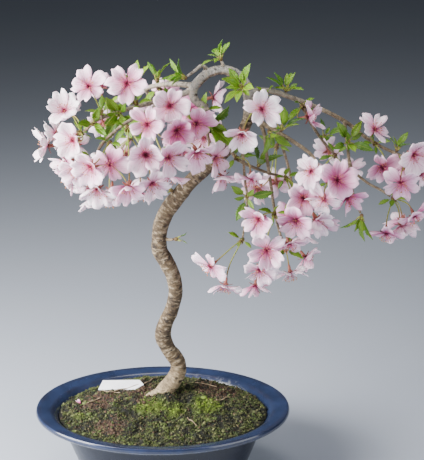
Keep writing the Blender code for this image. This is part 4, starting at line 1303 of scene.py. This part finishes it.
@dataclass
class LeafShape:
    """One leaf of length one: saw-edged, long-pointed, folded up along its rib and arched."""

    arch: float
    twist: float
    half_width: float = 0.2
    teeth: int = 8
    columns: int = 4
    fold: float = 0.4
    thick: float = 0.014

    def point(self, across: float, along: float) -> tuple[float, float, float]:
        """A point of the leaf: across it is X, towards its tip is Y and its upper side is Z."""
        swell = math.sin(math.pi * min(1.0, along ** 0.82)) ** 0.8 if 0 < along < 1 else 0.0
        tip = 1.0 - 0.35 * max(0.0, (along - 0.7) / 0.3)
        saw = 1.0 + 0.13 * (1 if round(along * self.teeth * 2) % 2 else -1)
        edge = saw if abs(across) > 0.99 and 0.08 < along < 0.97 else 1.0
        x = across * (0.006 + self.half_width * swell * tip * edge)
        z = abs(x) * self.fold - self.arch * along ** 2 + self.twist * across * math.sin(7 * along) * 0.03
        z += 0.012 * math.sin(along * math.tau * 3.5) * abs(across)
        return x, along, z

    def model(self) -> Template:
        """Model the leaf."""
        return model_blade(self.columns, self.teeth * 2, self.thick, self.point)


@dataclass
class SepalShape:
    """One pointed sepal or bud scale of length one."""

    half_width: float
    curl: float
    thick: float = 0.05

    def point(self, across: float, along: float) -> tuple[float, float, float]:
        """A point of the sepal: across it is X, towards its tip is Y."""
        width = self.half_width * (1 - along) ** 0.7 * (0.75 + 0.9 * along)
        return across * (0.02 + width), along, self.curl * along ** 2 + 0.25 * across ** 2 * width

    def model(self) -> Template:
        """Model the sepal."""
        return model_blade(2, 4, self.thick, self.point)


@dataclass
class Blossoms:
    """Every spray: its petals and stamens as one piece, its stalks, calyxes and bud as another."""

    growth: Growth
    palette: Palette
    stamens: int = 18
    petals: list[Template] = field(default_factory=list)

    def model_shapes(self) -> None:
        """Model each repeated shape once."""
        self.petals = [PetalShape(kind).model() for kind in PetalForm]
        self.filament = model_rod(3, 4)
        self.anther = model_ball(1, (0.42, 0.42, 0.62))
        self.stalk = model_rod(6, 12)
        self.tube = model_rod(8, 7)
        self.sepal = SepalShape(0.2, -0.16).model()
        self.scale = SepalShape(0.3, 0.3).model()
        self.bud = model_ball(2, (0.8, 0.8, 1.0))
        self.young = [LeafShape(arch, twist, teeth=5, columns=2).model()
                      for arch, twist in ((0.15, 0.6), (0.05, -1.0))]

    @staticmethod
    def pinkness_with_painted_light(bloom: Bloom, rng: random.Random) -> float:
        """How pink a blossom is: varied at random, and by place as painted light, so the low left ones, where
        the lights fall strongest, are nearly white and the upper and right ones pinker.
        """
        x, _, z = bloom.centre
        # painted light: paler towards the low left, where the left lights fall strongest, and pinker away
        # from it
        share = 0.12 + 0.0022 * (x + 60) + 0.004 * (z - 240) * (1 if x < 40 else 0)
        return min(1.0, max(0.0, share + rng.uniform(-0.3, 0.36)))

    def add_petals(self, batch: Batch, bloom: Bloom, rng: random.Random) -> None:
        """Add a blossom's five petals.

        Args:
            batch: the mesh to add to.
            bloom: the blossom's place.
            rng: the draw for its variation.
        """
        side, over = petal_frame(bloom.axis, bloom.spin)
        # the blossom's pinkness, with the painted light by place in it
        rich = self.pinkness_with_painted_light(bloom, rng)
        cup = rng.choice((-10.0, 0.0, 8.0, 15.0, 22.0))
        for petal in range(PETALS):
            turn = math.radians(360 / PETALS * petal + rng.uniform(-6.0, 6.0))
            outward = side * math.cos(turn) + over * math.sin(turn)
            tip = math.radians(cup + rng.uniform(-17.0, 15.0))
            radial = outward * math.cos(tip) + bloom.axis * math.sin(tip)
            upper = bloom.axis * math.cos(tip) - outward * math.sin(tip)
            across = np.cross(radial, upper)
            size = bloom.radius * rng.uniform(0.94, 1.1)
            shape = self.bent(rng.choice(self.petals), rng)
            batch.add(place(shape, bloom.centre, (across, radial, upper), size), shape,
                      min(1.0, max(0.0, rich + rng.uniform(-0.16, 0.16))))

    @staticmethod
    def bent(petal: Template, rng: random.Random) -> Template:
        """A petal's own curl, twist, fold, width and ragged edge."""
        points = petal.points.copy()
        across, outward = petal.points[:, 0], petal.points[:, 1]
        curl = rng.uniform(-0.34, 0.2) * outward ** 3
        twist = rng.uniform(-0.5, 0.5) * across * outward
        fold = rng.uniform(-0.05, 0.5) * np.abs(across) * outward
        points[:, 2] += curl + twist + fold
        points[:, 0] *= rng.uniform(0.76, 1.16)
        points[:, 0] += rng.uniform(-0.05, 0.05) * outward ** 2
        points[:, 1] += 0.055 * np.sin(across * rng.uniform(12, 26) + rng.uniform(0, 6)) * outward ** 5
        return petal._replace(points=points)

    def add_stamens(self, batch: Batch, bloom: Bloom, rng: random.Random) -> None:
        """Add a blossom's stamens, spread round its heart."""
        side, over = petal_frame(bloom.axis, bloom.spin)
        for index in range(self.stamens):
            turn = math.tau * index * 0.381966 + rng.uniform(-0.2, 0.2)
            lean = math.radians(10 + 42 * math.sqrt((index + 0.5) / self.stamens) + rng.uniform(-5, 5))
            outward = side * math.cos(turn) + over * math.sin(turn)
            aim = bloom.axis * math.cos(lean) + outward * math.sin(lean)
            length = bloom.radius * rng.uniform(0.32, 0.52)
            foot = bloom.centre + outward * 0.5 - bloom.axis * 0.2
            top = foot + aim * length
            middle = (foot + top) / 2 + bloom.axis * length * 0.08
            route = smooth_route([(*foot, 0.18), (*middle, 0.15), (*top, 0.12)], 3)
            batch.add(bend_rod(self.filament, route), self.filament, finish=1)
            across = unit(np.cross(aim, side))
            axes = (across, np.cross(aim, across), aim)
            batch.add(place(self.anther, top, axes, 1.0), self.anther, finish=2)

    def add_stalk(self, batch: Batch, bud: np.ndarray, bloom: Bloom) -> None:
        """Add a blossom's stalk, calyx and sepals."""
        first, second, third, last = self.growth.pedicel_handles(bud, bloom)
        route = []
        for step in range(13):
            t = step / 12
            point = (first * (1 - t) ** 3 + 3 * second * t * (1 - t) ** 2
                     + 3 * third * t * t * (1 - t) + last * t ** 3)
            route.append((*point, 0.5 + 0.12 * max(0.0, t - 0.8) / 0.2))
        batch.add(bend_rod(self.stalk, route), self.stalk, finish=0)
        widths = ((CALYX_LENGTH + 0.3, 0.56), (6.2, 0.95), (5.0, 1.25), (3.2, 1.3), (1.8, 1.5), (0.5, 2.0))
        tube = [(*(bloom.centre - bloom.axis * back), radius) for back, radius in widths]
        batch.add(bend_rod(self.tube, tube), self.tube, finish=1)
        side, over = petal_frame(bloom.axis, bloom.spin)
        for sepal in range(PETALS):
            turn = math.radians(360 / PETALS * (sepal + 0.5))
            outward = side * math.cos(turn) + over * math.sin(turn)
            radial = unit(outward - bloom.axis * 0.12)
            across = unit(np.cross(radial, bloom.axis))
            upper = np.cross(across, radial)
            foot = bloom.centre - bloom.axis * 0.9 + outward * 1.0
            batch.add(place(self.sepal, foot, (across, radial, upper), 5.2), self.sepal, finish=1)

    def add_bud(self, batch: Batch, spray: str, aim: np.ndarray, rng: random.Random) -> None:
        """Add the bud that a spray grows from, with its opened scales."""
        centre = self.growth.buds[spray]
        side, over = petal_frame(aim, 0.0)
        batch.add(place(self.bud, centre, (side, over, aim), BUD_RADIUS), self.bud, finish=2)
        for index in range(5):
            turn = math.tau * (index + rng.uniform(-0.15, 0.15)) / 5
            outward = side * math.cos(turn) + over * math.sin(turn)
            radial = unit(outward * 0.75 + aim)
            across = unit(np.cross(radial, aim))
            axes = (across, radial, np.cross(across, radial))
            points = place(self.scale, centre + outward * 0.9, axes, rng.uniform(3.2, 4.6))
            batch.add(points, self.scale, finish=2)

    def add_leaves(self, batch: Batch, spray: str, aim: np.ndarray, rng: random.Random) -> None:
        """Add the small young leaves that open beside a spray."""
        centre = self.growth.buds[spray]
        side, over = petal_frame(aim, rng.uniform(0, math.tau))
        count = rng.choice((3, 4, 4, 5))
        for index in range(count):
            turn = math.tau * (index + rng.uniform(-0.2, 0.2)) / count
            outward = side * math.cos(turn) + over * math.sin(turn)
            along = unit(aim * 0.3 + outward + np.array((0.0, -0.3, 0.35)))
            normal = np.array((0.0, -0.4, 0.9)) - outward * 0.4
            normal = unit(normal - along * normal.dot(along))
            across = np.cross(along, normal)
            length = rng.uniform(6.5, 14.0)
            shape = rng.choice(self.young)
            foot = centre + along * 3.4
            points = place(shape, foot, (across, along, normal), length)
            batch.add(points, shape, rng.random() * 0.7, finish=3)
            route = smooth_route([(*centre, 0.5), (*(foot + along * 0.5), 0.3)], 5)
            batch.add(bend_rod(self.filament, route), self.filament, finish=0)

    def build(self) -> None:
        """Build every spray."""
        self.model_shapes()
        rng = random.Random(FINE_SEED)
        bloom_finishes = [self.palette.get(f) for f in (PETAL, FILAMENT, ANTHER)]
        stalk_finishes = [self.palette.get(f) for f in (STALK, CALYX, BUD_SCALE, LEAF)]
        for spray in SPRAYS:
            blooms = [b for b in self.growth.blooms if b.spray == spray]
            flowers, stalks = Batch(), Batch()
            for bloom in blooms:
                nodding = bloom._replace(axis=unit(bloom.axis + [rng.uniform(-0.2, 0.2) for _ in range(3)]))
                self.add_petals(flowers, nodding, rng)
                self.add_stamens(flowers, nodding, rng)
                self.add_stalk(stalks, self.growth.buds[spray], bloom)
            aim = unit(np.mean([b.centre for b in blooms], axis=0) - self.growth.buds[spray])
            self.add_bud(stalks, spray, aim, rng)
            self.add_leaves(stalks, spray, aim, rng)
            flowers.build("blossoms_" + spray, bloom_finishes, "blossom", ["spray_" + spray])
            stalks.build("stalks_" + spray, stalk_finishes, "leaf")


@dataclass
class Foliage:
    """Every tuft of young leaves on its bud."""

    growth: Growth
    palette: Palette

    def build(self) -> None:
        """Build every shoot."""
        rng = random.Random(FINE_SEED + 1)
        shapes = [LeafShape(*form).model() for form in ((0.10, 0.4), (0.2, -0.8), (0.05, 1.1))]
        petiole = model_rod(6, 6)
        bud = model_ball(2, (0.8, 0.8, 1.0))
        finishes = [self.palette.get(f) for f in (LEAF, STALK, BUD_SCALE)]
        for shoot in SHOOTS:
            batch = Batch()
            centre = self.growth.buds[shoot]
            for leaf in (f for f in self.growth.leaves if f.spray == shoot):
                shape = rng.choice(shapes)
                across = np.cross(leaf.along, leaf.normal)
                axes = (across, leaf.along, leaf.normal)
                batch.add(place(shape, leaf.base, axes, leaf.length), shape, rng.random())
                end = leaf.base + leaf.along * leaf.length * 0.03
                middle = (centre + end) / 2 - leaf.normal * 0.5
                route = smooth_route([(*centre, 0.7), (*middle, 0.5), (*end, 0.35)], 4)
                batch.add(bend_rod(petiole, route), petiole, finish=1)
            aim = unit(np.array(SHOOTS[shoot][2], dtype=float))
            side, over = petal_frame(aim, 0.0)
            batch.add(place(bud, centre, (side, over, aim), BUD_RADIUS), bud, finish=2)
            spread, count, length = SHOOTS[shoot][3:]
            for index in range(count):
                turn = math.tau * (index + 0.5 + rng.uniform(-0.2, 0.2)) / count
                lean = math.radians(spread) * rng.uniform(0.3, 1.15)
                outward = side * math.cos(turn) + over * math.sin(turn)
                along = unit(aim * math.cos(lean) + outward * math.sin(lean))
                normal = unit(aim * math.sin(lean) - outward * math.cos(lean))
                foot = centre + along * 3.0
                shape = rng.choice(shapes)
                axes = (np.cross(along, normal), along, normal)
                points = place(shape, foot, axes, length * rng.uniform(0.5, 0.75))
                batch.add(points, shape, rng.random() * 0.6)
                route = smooth_route([(*centre, 0.5), (*(foot + along * 0.5), 0.3)], 5)
                batch.add(bend_rod(petiole, route), petiole, finish=1)
            batch.build("leaves_" + shoot, finishes, "leaf", [shoot])


@dataclass
class Wood:
    """The trunk with its looped top, its branches and its twigs."""

    palette: Palette

    @staticmethod
    def bark(length: float, knobs: float, collar: float, seed: float
             ) -> Callable[[np.ndarray, np.ndarray], np.ndarray]:
        """How a length of wood swells and shrinks.

        Args:
            length: its length in millimetres.
            knobs: the depth of its swellings, as a share of its radius.
            collar: how much wider it is where it grows out.
            seed: a place in the noise.

        Returns:
            The factor on the radius.
        """
        def swell(turn: np.ndarray, share: np.ndarray) -> np.ndarray:
            """Rough and fine swellings round the wood, along its length."""
            distance = share * length
            angle = turn * math.tau
            places = np.column_stack([np.cos(angle) * 0.8, np.sin(angle) * 0.8, distance * 0.07 + seed])
            rough = np.array([noise.noise(Vector(p)) for p in places])
            places = np.column_stack([np.cos(angle) * 1.6, np.sin(angle) * 1.6, distance * 0.3 - seed])
            fine = np.array([noise.noise(Vector(p)) for p in places])
            return 1 + knobs * (rough + 0.45 * fine) + collar * np.exp(-distance / 3.5)
        return swell

    def add_length(self, batch: Batch, route: Route, sides: int, knobs: float, collar: float,
                   seed: float) -> None:
        """Add one length of wood to a batch."""
        length = sum(np.linalg.norm(b[:3] - a[:3]) for a, b in zip(route, route[1:]))
        rod = model_rod(sides, max(6, int(length / 1.1)))
        points = bend_rod(rod, route, self.bark(length, knobs, collar, seed))
        middle = bend_rod(rod._replace(points=rod.points * np.array((0.0, 0.0, 1.0))), route)
        under = (middle - points)[:, 2] / (np.linalg.norm(points - middle, axis=1) + 1e-6)
        chart = np.column_stack([under, rod.chart[:, 1] * length / 10])
        thick = float(np.mean([row[3] for row in route])) / 10
        batch.add(points, rod._replace(chart=chart), thick)

    def build(self) -> None:
        """Build the trunk, then the branches and twigs."""
        finish = [self.palette.get(BARK)]
        trunk = Batch()
        self.add_length(trunk, smooth_route(TRUNK, 6), sides=40, knobs=0.11, collar=0.0, seed=3.0)
        self.add_length(trunk, smooth_route(TOE_ROOT, 6), sides=20, knobs=0.12, collar=0.0, seed=9.0)
        trunk.build("trunk_bark", finish, "bark", ["trunk"])
        branches = Batch()
        for index, name in enumerate(TWIGS):
            route = smooth_route(Growth.twig_route(name), 6)
            self.add_length(branches, route, sides=14, knobs=0.13, collar=0.28, seed=20.0 + 7 * index)
        branches.build("branches", finish, "bark")


def lathe(name: str, profile: Sequence[tuple[float, float]], steps: int, oval: float) -> bpy.types.Object:
    """Turn a profile round the upright axis, then narrow it front to back.

    Args:
        name: the new object's name.
        profile: its (radius, height) points in millimetres, from the axis and back to it.
        steps: how many segments go round.
        oval: the depth as a share of the width.

    Returns:
        The closed shape.
    """
    alone()
    bpy.ops.mesh.primitive_plane_add(size=1.0)
    shape = fresh(name)
    bpy.ops.object.mode_set(mode="EDIT")
    bpy.ops.mesh.delete(type="VERT")
    work = bmesh.from_edit_mesh(shape.data)
    points = [work.verts.new((radius * MM, 0.0, height * MM)) for radius, height in profile]
    for a, b in zip(points, points[1:]):
        work.edges.new((a, b))
    bmesh.update_edit_mesh(shape.data)
    bpy.ops.mesh.select_all(action="SELECT")
    bpy.ops.mesh.spin(steps=steps, angle=math.tau, center=(0, 0, 0), axis=(0, 0, 1), use_auto_merge=True)
    bpy.ops.mesh.select_all(action="SELECT")
    bpy.ops.mesh.remove_doubles(threshold=0.00002)
    bpy.ops.mesh.normals_make_consistent(inside=False)
    bpy.ops.transform.resize(value=(1.0, oval, 1.0))
    bpy.ops.object.mode_set(mode="OBJECT")
    shape.location = (0.0, 0.0, 0.0)
    return shape


def dress(piece: bpy.types.Object, finish: bpy.types.Material, angle: float,
          stands_for: Sequence[str] = ()) -> bpy.types.Object:
    """Give a modelled piece its only finish and smooth shading up to an angle in degrees."""
    piece.data.materials.clear()
    piece.data.materials.append(finish)
    alone()
    piece.select_set(True)
    bpy.context.view_layer.objects.active = piece
    bpy.ops.object.shade_smooth_by_angle(angle=math.radians(angle))
    return settle_piece(piece, stands_for)


@dataclass
class Pot:
    """The glazed oval pot with its rolled lip, its drain holes and the screens over them."""

    palette: Palette
    segments: int = 144

    def profile(self) -> list[tuple[float, float]]:
        """The section of the wall from the middle of the foot to the middle of the floor inside."""
        body = [tuple(row) for row in smooth_route(POT_OUTSIDE[1:], 4)]
        roll = [tuple(row) for row in smooth_route([POT_OUTSIDE[-1], *POT_ROLL, POT_INSIDE[0]], 5)][1:-1]
        inside = [tuple(row) for row in smooth_route(POT_INSIDE, 3)]
        return [(0, 0.6), (58, 0.6), (60, 0), POT_OUTSIDE[0], *body, *roll, *inside, (0, POT_INSIDE[-1][1])]

    def build(self) -> None:
        """Build the pot and dress the screens."""
        profile = self.profile()
        pot = lathe("pot_glazed", profile, self.segments, POT_OVAL)
        for side in (-1, 1):
            alone()
            bpy.ops.mesh.primitive_cylinder_add(vertices=40, radius=DRAIN_HOLE_RADIUS * MM, depth=30 * MM,
                                                location=(side * DRAIN_HOLE_OFFSET * MM, 0, 0))
            drill = fresh("drill")
            hole = pot.modifiers.new("hole", "BOOLEAN")
            hole.object = drill
            apply_modifiers(pot)
            bpy.data.objects.remove(drill, do_unlink=True)
        rows = np.array(profile)
        reach = np.concatenate([[0.0], np.cumsum(np.linalg.norm(np.diff(rows, axis=0), axis=1))])
        reach /= reach[-1]
        places = np.array([vert.co for vert in pot.data.vertices]) / MM
        radial = np.column_stack([np.hypot(places[:, 0], places[:, 1] / POT_OVAL), places[:, 2]])
        nearest = np.linalg.norm(radial[:, None] - rows[None], axis=2).argmin(axis=1)
        section = np.column_stack([np.zeros(len(places)), reach[nearest], np.zeros(len(places))])
        chart = pot.data.attributes.new("chart", "FLOAT_VECTOR", "POINT")
        chart.data.foreach_set("vector", section.astype(np.float32).ravel())
        edges = []
        for mark in (POT_OUTSIDE[-2], POT_ROLL[0], POT_ROLL[2], POT_INSIDE[0]):
            edges.append(float(reach[np.linalg.norm(rows - np.array(mark), axis=1).argmin()]))
        finish = replace(GLAZE, edges=tuple(edges))
        dress(pot, self.palette.get(finish), 40, ["pot"])
        for word in ("left", "right"):
            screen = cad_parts["drain_screen_" + word]
            screen.data.materials.clear()
            screen.data.materials.append(self.palette.get(SCREEN))


def label_frame() -> tuple[np.ndarray, np.ndarray]:
    """The label's three axes, as rows, and its centre."""
    turn = Matrix.Identity(3)
    for angle, axis in zip(LABEL_TILT, "XYZ"):
        turn = Matrix.Rotation(math.radians(angle), 3, axis) @ turn
    return np.array(turn.transposed()), np.array(LABEL_CENTRE)


@dataclass
class Ground:
    """The soil with its moss, small plants, crumbs and fallen bits."""

    palette: Palette
    rings: int = 70
    segments: int = 200
    tufts: int = 2300
    leaflets: int = 3000
    cushions: int = 90
    crumbs: int = 1300

    @staticmethod
    def height(x: float, y: float) -> float:
        """The height of the moss at a place, as its solid has it."""
        reach = min(1.0, math.hypot(x / SOIL_SIDE[-1][0], y / (SOIL_SIDE[-1][0] * POT_OVAL)))
        back = SOIL_LEAN * y / (SOIL_SIDE[-1][0] * POT_OVAL) * (1 - reach ** 2)
        mound = SOIL_EDGE_HEIGHT + SOIL_MOUND * (1 - reach ** 2.2) + back
        cushions = noise.noise(Vector((x, y, 0.0)) * MOSS_GRAIN)
        tufts = noise.noise(Vector((x, y, 9.0)) * MOSS_GRAIN * 2.3)
        return mound + MOSS_RELIEF * (cushions + 0.5 * tufts) * (1 - 0.6 * reach ** 4)

    @classmethod
    def fine_height(cls, x: float, y: float) -> float:
        """The height with its fine lumps, kept under the label where that lies."""
        lumps = noise.noise(Vector((x, y, 3.0)) * 0.22) + 0.6 * noise.noise(Vector((x, y, 5.0)) * 0.6)
        climb = 3.6 * math.exp(-(math.hypot(x - 2, y - 2) / 9.0) ** 2)
        height = cls.height(x, y) + 1.3 * lumps + climb
        axes, centre = label_frame()
        normal = axes[2]
        plane = centre[2] - (normal[0] * (x - centre[0]) + normal[1] * (y - centre[1])) / normal[2]
        place = np.array((x, y, plane)) - centre
        if abs(place @ axes[0]) < LABEL_LENGTH / 2 + 1.2 and abs(place @ axes[1]) < LABEL_WIDTH / 2 + 1.2:
            height = min(height, plane - LABEL_THICK / 2 - 0.35)
        return height

    def build_soil(self) -> None:
        """Build the soil's body, its top finely uneven."""
        edge = SOIL_SIDE[-1][0]
        top = [(edge * (1 - step / self.rings), SOIL_EDGE_HEIGHT) for step in range(1, self.rings)]
        profile = [(0, SOIL_SIDE[0][1]), *SOIL_SIDE, *top, (0, SOIL_EDGE_HEIGHT)]
        soil = lathe("soil_and_moss", profile, self.segments, POT_OVAL)
        for vert in soil.data.vertices:
            if vert.co.z > (SOIL_EDGE_HEIGHT - 0.1) * MM:
                vert.co.z = self.fine_height(vert.co.x / MM, vert.co.y / MM) * MM
        dress(soil, self.palette.get(GROUND), 60, ["soil"])

    @staticmethod
    def bare(x: float, y: float) -> float:
        """How bare of moss a place is, 0 to 1."""
        share = 0.0
        for cx, cy, _, radius in BARE_PLACES:
            share = max(share, 1 - math.hypot(x - cx, y - cy) / (radius + 4))
        return min(1.0, max(0.0, share * 2.5))

    def spots(self, count: int, rng: random.Random, on_bare: float) -> list[tuple[np.ndarray, float]]:
        """Places over the mound.

        Args:
            count: how many to draw.
            rng: the draw.
            on_bare: the chance that one is kept where the soil is bare.

        Returns:
            Each place with how far out it is, 0 to 1.
        """
        out = []
        axes, centre = label_frame()
        while len(out) < count:
            turn, reach = rng.uniform(0, math.tau), math.sqrt(rng.random()) * 0.985
            x = math.cos(turn) * reach * SOIL_SIDE[-1][0]
            y = math.sin(turn) * reach * SOIL_SIDE[-1][0] * POT_OVAL
            keep = 1 + (on_bare - 1) * self.bare(x, y)
            apart = np.array((x, y, centre[2])) - centre
            within_length = abs(apart @ axes[0]) < LABEL_LENGTH / 2 + 1.5
            under_label = within_length and abs(apart[1]) < LABEL_WIDTH / 2 + 1
            if rng.random() < keep and not under_label:
                out.append((np.array((x, y, self.fine_height(x, y))), reach))
        return out

    @staticmethod
    def leaning(rng: random.Random, most: float) -> tuple[np.ndarray, np.ndarray, np.ndarray]:
        """Three axes whose third leans from upright by up to most degrees."""
        turn, lean = rng.uniform(0, math.tau), math.radians(most) * rng.random()
        aim = np.array((math.cos(turn) * math.sin(lean), math.sin(turn) * math.sin(lean), math.cos(lean)))
        side, over = petal_frame(aim, rng.uniform(0, math.tau))
        return side, over, aim

    def build_moss(self) -> None:
        """Build the cushions, the tufts of spikes and the tiny round leaves."""
        rng = random.Random(FINE_SEED + 2)
        spike, leaflet = model_spike(), model_ball(1, (1.0, 0.66, 0.16))
        cushion = model_ball(2, (1.0, 1.0, 0.55))
        finish = [self.palette.get(MOSS)]
        low, high = Batch(), Batch()
        for place_, _ in self.spots(self.cushions, rng, 0.15):
            foot = place_ - np.array((0, 0, 0.6))
            points = place(cushion, foot, self.leaning(rng, 15), rng.uniform(1.4, 3.2))
            low.add(points, cushion, rng.uniform(0.0, 0.35))
        for place_, _ in self.spots(self.tufts, rng, 0.25):
            tint = rng.uniform(0.0, 0.5)
            for _ in range(5):
                foot = place_ + np.array((rng.uniform(-0.7, 0.7), rng.uniform(-0.7, 0.7), -0.3))
                high.add(place(spike, foot, self.leaning(rng, 48), rng.uniform(1.3, 2.8)), spike, tint)
        for place_, _ in self.spots(self.leaflets, rng, 0.3):
            lift = np.array((0, 0, rng.uniform(0.0, 1.1)))
            points = place(leaflet, place_ + lift, self.leaning(rng, 65), rng.uniform(0.6, 1.7))
            low.add(points, leaflet, rng.choice((0.0, 0.0, 0.0, 0.2, 0.55)))
        low.build("moss_cushions", finish, "soil")
        high.build("moss_tufts", finish, "soil")

    def build_crumbs(self) -> None:
        """Build the crumbs of soil and bark."""
        rng = random.Random(FINE_SEED + 3)
        lump = model_ball(1, (1.0, 0.8, 0.6))
        batch = Batch()
        for place_, _ in self.spots(self.crumbs * 3, rng, 1.0):
            if rng.random() < 0.12 + 0.88 * self.bare(place_[0], place_[1]):
                axes = self.leaning(rng, 80)
                rough = lump._replace(points=lump.points * rng.uniform(0.7, 1.3))
                batch.add(place(rough, place_, axes, rng.uniform(0.5, 1.5)), lump)
        batch.build("soil_crumbs", [self.palette.get(CRUMB)], "soil")

    def build_twigs(self) -> None:
        """Build the thin dead twigs that lie on the moss."""
        rng = random.Random(FINE_SEED + 4)
        batch = Batch()
        for x, y, turn, length in ((-30, 22, 12, 24), (-44, 18, -28, 17), (-12, 34, 60, 20), (-58, 6, 40, 13),
                                   (34, 30, -15, 22), (50, 8, 35, 15), (24, -28, -50, 12)):
            route = []
            for step in range(5):
                along = (step / 4 - 0.5) * length
                px = x + math.cos(math.radians(turn)) * along
                py = y + math.sin(math.radians(turn)) * along
                side = rng.uniform(-0.9, 0.9)
                height = self.height(px, py) + 0.9 + rng.uniform(0, 0.9)
                route.append((px + side, py - side, height, rng.uniform(0.35, 0.6)))
            rod = model_rod(6, 16)
            batch.add(bend_rod(rod, smooth_route(route, 4)), rod)
        batch.build("dead_twigs", [self.palette.get(DEAD_TWIG)], "bark")

    def build_fallen_petal(self) -> None:
        """Build the fallen petal near the front left of the lip."""
        shape = PetalShape(PetalForm.WAVY).model()
        rng = random.Random(FINE_SEED + 5)
        x, y = FALLEN_PETAL
        aim = unit(np.array((-0.1, -0.5, 1.0)))
        side, over = petal_frame(aim, 0.9)
        batch = Batch()
        origin = np.array((x, y, self.height(x, y) + 1.6))
        crumpled = Blossoms.bent(shape, rng)
        batch.add(place(crumpled, origin, (side, over, aim), 5.5), shape, 1.0)
        batch.build("fallen_petal", [self.palette.get(PETAL)], "blossom")

    def build(self) -> None:
        """Build everything on and in the soil."""
        self.build_soil()
        self.build_moss()
        self.build_crumbs()
        self.build_twigs()
        self.build_fallen_petal()


@dataclass
class Label:
    """The white plant label that lies on the mound, its writing left off."""

    palette: Palette
    bevel: float = 0.15

    def build(self) -> None:
        """Build the label."""
        alone()
        bpy.ops.mesh.primitive_cylinder_add(vertices=5, radius=1.0, depth=LABEL_THICK)
        label = fresh("label_blank")
        half, right = LABEL_WIDTH / 2, LABEL_LENGTH / 2
        outline = [(right, 0.0), (right - LABEL_POINT, half), (-right, half), (-right, -half),
                   (right - LABEL_POINT, -half)]
        axes, centre = label_frame()
        bpy.ops.object.mode_set(mode="EDIT")
        work = bmesh.from_edit_mesh(label.data)
        first = min(work.verts, key=lambda v: abs(math.atan2(v.co.y, v.co.x) % math.tau))
        start = math.atan2(first.co.y, first.co.x)
        for vert in work.verts:
            turn = (math.atan2(vert.co.y, vert.co.x) - start) % math.tau
            x, y = outline[round(turn / math.tau * 5) % 5]
            vert.co = Vector(centre + np.array((x, y, vert.co.z)) @ axes) * MM
        bmesh.update_edit_mesh(label.data)
        bpy.ops.object.mode_set(mode="OBJECT")
        soften = label.modifiers.new("soften", "BEVEL")
        soften.width = self.bevel * MM
        soften.segments = 2
        apply_modifiers(label)
        dress(label, self.palette.get(LABEL), 20, ["plant_label"])


@dataclass
class Studio:
    """The plain pale floor, the soft lights and the camera at the photo's place."""

    palette: Palette
    eye: tuple[float, float, float] = (40.7, -1042.3, 548.0)
    pitch: float = 72.32
    lens: float = 107.5

    def light(self, name: str, place_: Sequence[float], aim: Sequence[float], size: float, power: float,
              colour: tuple[float, float, float]) -> None:
        """Add a soft square light.

        Args:
            name: its name.
            place_: where it stands, in metres.
            aim: the point it is turned to, in metres.
            size: its side in metres.
            power: its power in watts.
            colour: its colour.
        """
        bpy.ops.object.light_add(type="AREA", location=place_)
        lamp = fresh(name)
        lamp.data.size = size
        lamp.data.energy = power
        lamp.data.color = colour
        lamp.rotation_euler = (Vector(aim) - Vector(place_)).to_track_quat("-Z", "Y").to_euler()

    def build(self) -> None:
        """Build the floor, the lights, the surroundings and the camera."""
        bpy.ops.mesh.primitive_plane_add(size=16.0)
        floor = fresh("floor")
        floor.data.materials.append(self.palette.get(FLOOR))
        self.light("key_light", (-0.6, -0.46, 0.62), (0, 0, 0.2), size=0.45, power=13.5,
                   colour=(1.0, 0.985, 0.965))
        self.light("low_light", (-0.52, -0.2, 0.32), (-0.03, 0, 0.2), size=0.4, power=13.5,
                   colour=(1.0, 1.0, 1.0))
        self.light("fill_light", (0.6, -0.42, 0.36), (0.05, 0, 0.15), size=0.6, power=4.2,
                   colour=(0.93, 0.96, 1.0))
        self.light("top_light", (0.0, 0.05, 0.95), (0, 0, 0.2), size=0.4, power=3.5,
                   colour=(1.0, 1.0, 1.0))
        world = bpy.data.worlds.new("surroundings")
        bpy.context.scene.world = world
        world.use_nodes = True
        sky = world.node_tree.nodes["Background"]
        sky.inputs["Color"].default_value = (0.8, 0.88, 1.0, 1.0)
        sky.inputs["Strength"].default_value = 0.065
        bpy.ops.object.camera_add(location=[value * MM for value in self.eye],
                                  rotation=(math.radians(self.pitch), 0, 0))
        camera = fresh("camera")
        camera.data.lens = self.lens
        camera.data.sensor_width = 36.0
        camera.data.dof.use_dof = False
        camera.data.clip_start = 0.05
        camera.data.clip_end = 50.0
        bpy.context.scene.camera = camera


def main() -> None:
    """Build the bonsai and the studio round it."""
    palette = Palette()
    growth = Growth()
    growth.grow()
    Pot(palette).build()
    Ground(palette).build()
    Label(palette).build()
    Wood(palette).build()
    Blossoms(growth, palette).build()
    Foliage(growth, palette).build()
    Studio(palette).build()


if __name__ == "__main__":
    main()
